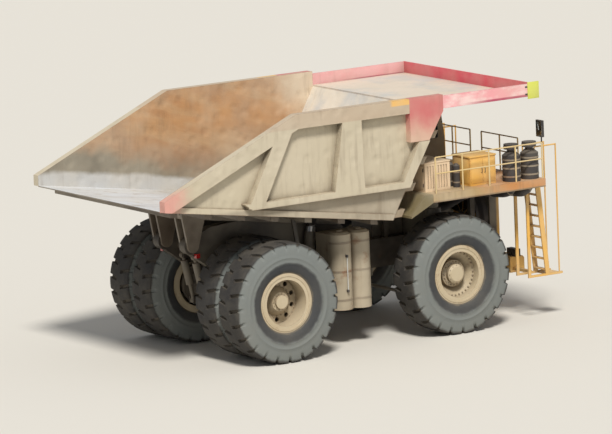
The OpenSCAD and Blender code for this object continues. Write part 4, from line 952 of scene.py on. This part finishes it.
def deck_fittings():
    """Doors, lids, hinges and latches on the deck's cabinets and bands round the bottles."""
    battery = [block((3.81, -3.125, 5.19), (4.78, -2.175, 5.24), 0.014)]
    battery += [block((x, -3.112, 4.42), (x + 0.42, -3.096, 5.14), 0.006) for x in (3.865, 4.305)]
    battery += [block((3.823, -3.04, 4.42), (3.838, -2.26, 5.14), 0.006)]
    fit_piece("battery_box_doors", battery, YELLOW)
    brake = [block((2.272, y0, 4.43), (2.288, y1, 5.12), 0.006)
             for y0, y1 in ((-2.92, -2.27), (-2.23, -1.58))]
    brake += [block((2.265, -3.02, 5.18), (3.205, -1.48, 5.225), 0.014)]
    fit_piece("brake_cabinet_doors", brake, CREAM)
    latches = [bar_handle((x, -3.11, 4.72), (x, -3.11, 4.88), (0, -0.04, 0), 0.02, 0.01, FORE)
               for x in (4.24, 4.35)]
    latches += [bar_handle((2.275, y, 4.72), (2.275, y, 4.88), (-0.04, 0, 0), 0.02, 0.01, ACROSS)
                for y in (-2.32, -2.18)]
    hinges = [tube([(2.268, y, z), (2.268, y, z + 0.1)], 0.014, FORE)
              for y in (-2.93, -1.57) for z in (4.5, 4.95)]
    fit_piece("cabinet_latches", latches + hinges, BLACK)
    cleaners, bottles = (5.975, 5.315), (-2.85, -2.55, -2.25)
    bands = [band((x, -3.12, z), 0.27, UP, 0.025) for x in cleaners for z in (4.5, 4.75, 5.0)]
    bands += [band((x, -3.12, 5.385), 0.215, UP, 0.02) for x in cleaners]
    bands += [band((3.515, y, z), 0.11, UP, 0.02, 0.006, 24) for y in bottles for z in (4.5, 4.8)]
    fit_piece("deck_bottle_bands", bands, NUT_STEEL)


def cab_fittings():
    """Rubber seals round the windows, roof cooler, wiper, horn, beacon, grab rail, and the
    door's handle and seal."""
    seals = [side_seal(4.955, 5.465, 0.946), side_seal(4.955, 5.465, 2.604),
             side_seal(3.975, 4.775, 0.946)]
    for foot_x, head_x, side in ((3.772, 3.772, FORE), (5.721, 5.602, (1, 0, 0.133))):
        corners = [(foot_x, 1.11, 5.26), (foot_x, 2.44, 5.26), (head_x, 2.44, HEAD_Z),
                   (head_x, 1.11, HEAD_Z)]
        seals.append(tube(frame_round(corners), 0.016, side, loop=True))
    fit_piece("cab_window_seals", seals, BLACK)
    cooler = block((4.15, 1.25, 6.39), (5.0, 2.12, 6.58), 0.045, 4)
    fit_piece("cab_roof_cooler", [cooler], CREAM)
    slats = [block((4.135, 1.35, 6.43 + k * 0.035), (4.155, 2.02, 6.445 + k * 0.035), 0.004)
             for k in range(4)]
    arm = bend_through([(5.74, 1.5, 5.19), (5.745, 1.52, 5.3), (5.70, 1.75, 5.75)], 14)
    wiper = [tube(arm, 0.011, (0, 0.3, 1)),
             tube([(5.725, 1.72, 5.42), (5.655, 1.78, 5.98)], 0.013, ACROSS, 6)]
    bell = [(0.02, 0), (0.025, 0.12), (0.05, 0.2), (0.085, 0.235), (0.07, 0.235), (0.04, 0.2)]
    horn = [turned(bell, (5.2, 1.2, 6.47), FORE, 24), block((5.2, 1.17, 6.39), (5.26, 1.23, 6.46))]
    fit_piece("cab_roof_details", slats + wiper + horn, BLACK)
    dome = [(0.055, 0), (0.055, 0.08), (0.045, 0.115), (0.02, 0.13), (0.004, 0.132)]
    fit_piece("cab_beacon", [turned(dome, (5.3, 2.51, 6.42), UP, 24)], AMBER)
    foot = turned([(0.065, 0), (0.065, 0.025), (0.055, 0.03)], (5.3, 2.51, 6.395), UP, 24)
    rail = bar_handle((4.82, 2.59, 4.75), (4.82, 2.59, 5.8), (0, 0.07, 0), 0.05, 0.016, FORE, 20)
    fit_piece("cab_grab_rail", [foot, rail], BLACK)
    low, high = (4.62, 2.595, 4.95), (4.62, 2.595, 5.12)
    door = [bar_handle(low, high, (0, 0.055, 0), 0.02, 0.012, FORE, 14),
            side_seal(4.055, 4.595, 2.604, 6.09, 0.014)]
    fit_piece("cab_door_handle_and_seal", door, BLACK, "cab_door")


def cab_furniture():
    """Seat, dash and steering wheel, in place of the plain blocks. The wheel's rim is centre
    + radius * (cos t * across + sin t * fore), leaned back by its tilt."""
    stand = [block((4.38, 1.58, 4.43), (4.77, 1.97, 4.70), 0.03),
             turned([(0.2, 0), (0.17, 0.05), (0.2, 0.1)], (4.575, 1.775, 4.7), UP, 32),
             block((4.30, 1.53, 4.79), (4.80, 2.02, 4.825), 0.012)]
    arms = [block((4.33, y, 5.03), (4.66, y + 0.07, 5.08), 0.02) for y in (1.455, 2.025)]
    fit_piece("seat_stand_and_arms", stand + arms, TRIM)
    low = [cushion((4.32, 1.52, 4.825), (4.82, 2.03, 4.95), 2)]
    seat = fit_piece("seat_cushion", low, CLOTH)
    high = [cushion((4.23, 1.53, 4.90), (4.35, 2.02, 5.50), 0),
            cushion((4.235, 1.65, 5.51), (4.335, 1.90, 5.68), 0)]
    back = fit_piece("seat_back", high, CLOTH)
    tilt, centre = math.radians(35), np.array([5.085, 1.775, 5.27])
    t = np.linspace(0, 2 * np.pi, 40, endpoint=False)[:, None]
    across, fore = np.array(ACROSS), np.array([math.cos(tilt), 0, math.sin(tilt)])
    square = (-math.sin(tilt), 0, math.cos(tilt))
    rim = centre + 0.215 * (np.cos(t) * across + np.sin(t) * fore)
    dash = [block((5.22, 1.035, 4.43), (5.64, 2.515, 4.95), 0.04, 3),
            block((5.25, 1.4, 4.93), (5.6, 2.15, 5.07), 0.04, 3),
            tube([(5.25, 1.775, 4.98), (5.10, 1.775, 5.24)], 0.04, ACROSS, 16),
            tube(rim, 0.016, square, loop=True)]
    dash += [tube([centre, rim[k]], 0.012, square, 6) for k in (0, 20, 30)]
    made = fit_piece("dash_and_steering_wheel", dash, TRIM)
    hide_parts("cab_interior")


def axle_and_bumper_bolts():
    """Bolted flange on the rear axle's cover and bolts on the bumper."""
    centre, rear = (-3.625, 0, AXLE_Z), (-1, 0, 0)
    section = [(0.42, -0.14), (0.50, -0.14), (0.50, -0.10), (0.42, -0.10)]
    flange = turned(section, centre, rear, 60, ring=True)
    fit_piece("axle_cover_flange", [flange], STRUT_GREY)
    bolts = hex_nuts(ring_of(centre, rear, 0.465, 24, -0.105), rear, 0.018, 0.024)
    fit_piece("axle_cover_bolts", bolts, NUT_STEEL)
    places = [(6.795, sign * y, z) for sign in SIDES.values()
              for y in (1.0, 1.12, 1.3, 1.42) for z in (1.32, 1.62)]
    fit_piece("bumper_bolts", hex_nuts(places, FORE, 0.03, 0.025), NUT_STEEL)


def corner_marker():
    """Lime marker plate on a bracket at the canopy's near front corner."""
    plate = block((5.78, -3.436, 6.78), (6.19, -3.426, 7.285), 0.004)
    fit_piece("canopy_marker_plate", [plate], LIME, "dump_body")
    straps = [block((5.70, -3.428, z), (6.15, -3.419, z + 0.05), 0.003) for z in (6.90, 7.12)]
    fit_piece("canopy_marker_bracket", straps, BLACK, "dump_body")


for fit in (radiator_core, lamps, mirror_faces, air_intake, cooling_fan, tank_fittings,
            deck_fittings, cab_fittings, cab_furniture, axle_and_bumper_bolts, corner_marker):
    fit()


# ---- Floor, light and camera ----

def set_stage():
    """A pale floor, a pale sky and one broad soft light, high on the near side and a
    little from behind the truck, as the shadows in the photograph fall."""
    mesh = bpy.data.meshes.new("studio_floor")
    reach = 700
    corners = [(-reach, -reach, 0), (reach, -reach, 0), (reach, reach, 0), (-reach, reach, 0)]
    mesh.from_pydata(corners, [], [(0, 1, 2, 3)])
    floor = bpy.data.objects.new("studio_floor", mesh)
    bpy.context.scene.collection.objects.link(floor)
    pale = Finish("studio_floor_pale", Roughness=0.9, Base_Color=paint(222, 218, 209))
    mesh.materials.append(pale.material)
    world = bpy.data.worlds.new("studio_sky")
    world.use_nodes = True
    sky = world.node_tree.nodes["Background"].inputs
    sky["Color"].default_value, sky["Strength"].default_value = (0.92, 0.95, 1.0, 1.0), 0.36
    bpy.context.scene.world = world
    key = bpy.data.lights.new("studio_key", "SUN")
    key.energy, key.angle, key.color = 3.15, math.radians(12), (1.0, 0.97, 0.92)
    lamp = bpy.data.objects.new("studio_key", key)
    lamp.rotation_euler = Vector((-0.35, -0.62, 0.9)).to_track_quat("Z", "Y").to_euler()
    bpy.context.scene.collection.objects.link(lamp)
    bpy.context.scene.view_settings.view_transform = "Standard"


def set_camera():
    """Seen from behind on the right, 33 degrees off square and 9.4 degrees up, with a long
    lens and the small tilt that the photograph has."""
    turn, rise, roll = math.radians(-33), math.radians(9.4), math.radians(2.3)
    aim, distance = Vector((0.0, 0.0, 3.55)), 202
    level = math.cos(rise)
    back = Vector((math.sin(turn) * level, -math.cos(turn) * level, math.sin(rise)))
    right = Vector((math.cos(turn), math.sin(turn), 0))
    up = back.cross(right)
    leaned_right = right * math.cos(roll) - up * math.sin(roll)
    leaned_up = up * math.cos(roll) + right * math.sin(roll)
    data = bpy.data.cameras.new("photo_camera")
    data.lens, data.sensor_width, data.clip_end = 400, 36, 3000
    camera = bpy.data.objects.new("photo_camera", data)
    turned_to = Matrix((leaned_right, leaned_up, back)).transposed().to_4x4()
    camera.matrix_world = Matrix.Translation(aim + back * distance) @ turned_to
    bpy.context.scene.collection.objects.link(camera)
    bpy.context.scene.camera = camera


set_stage()
set_camera()
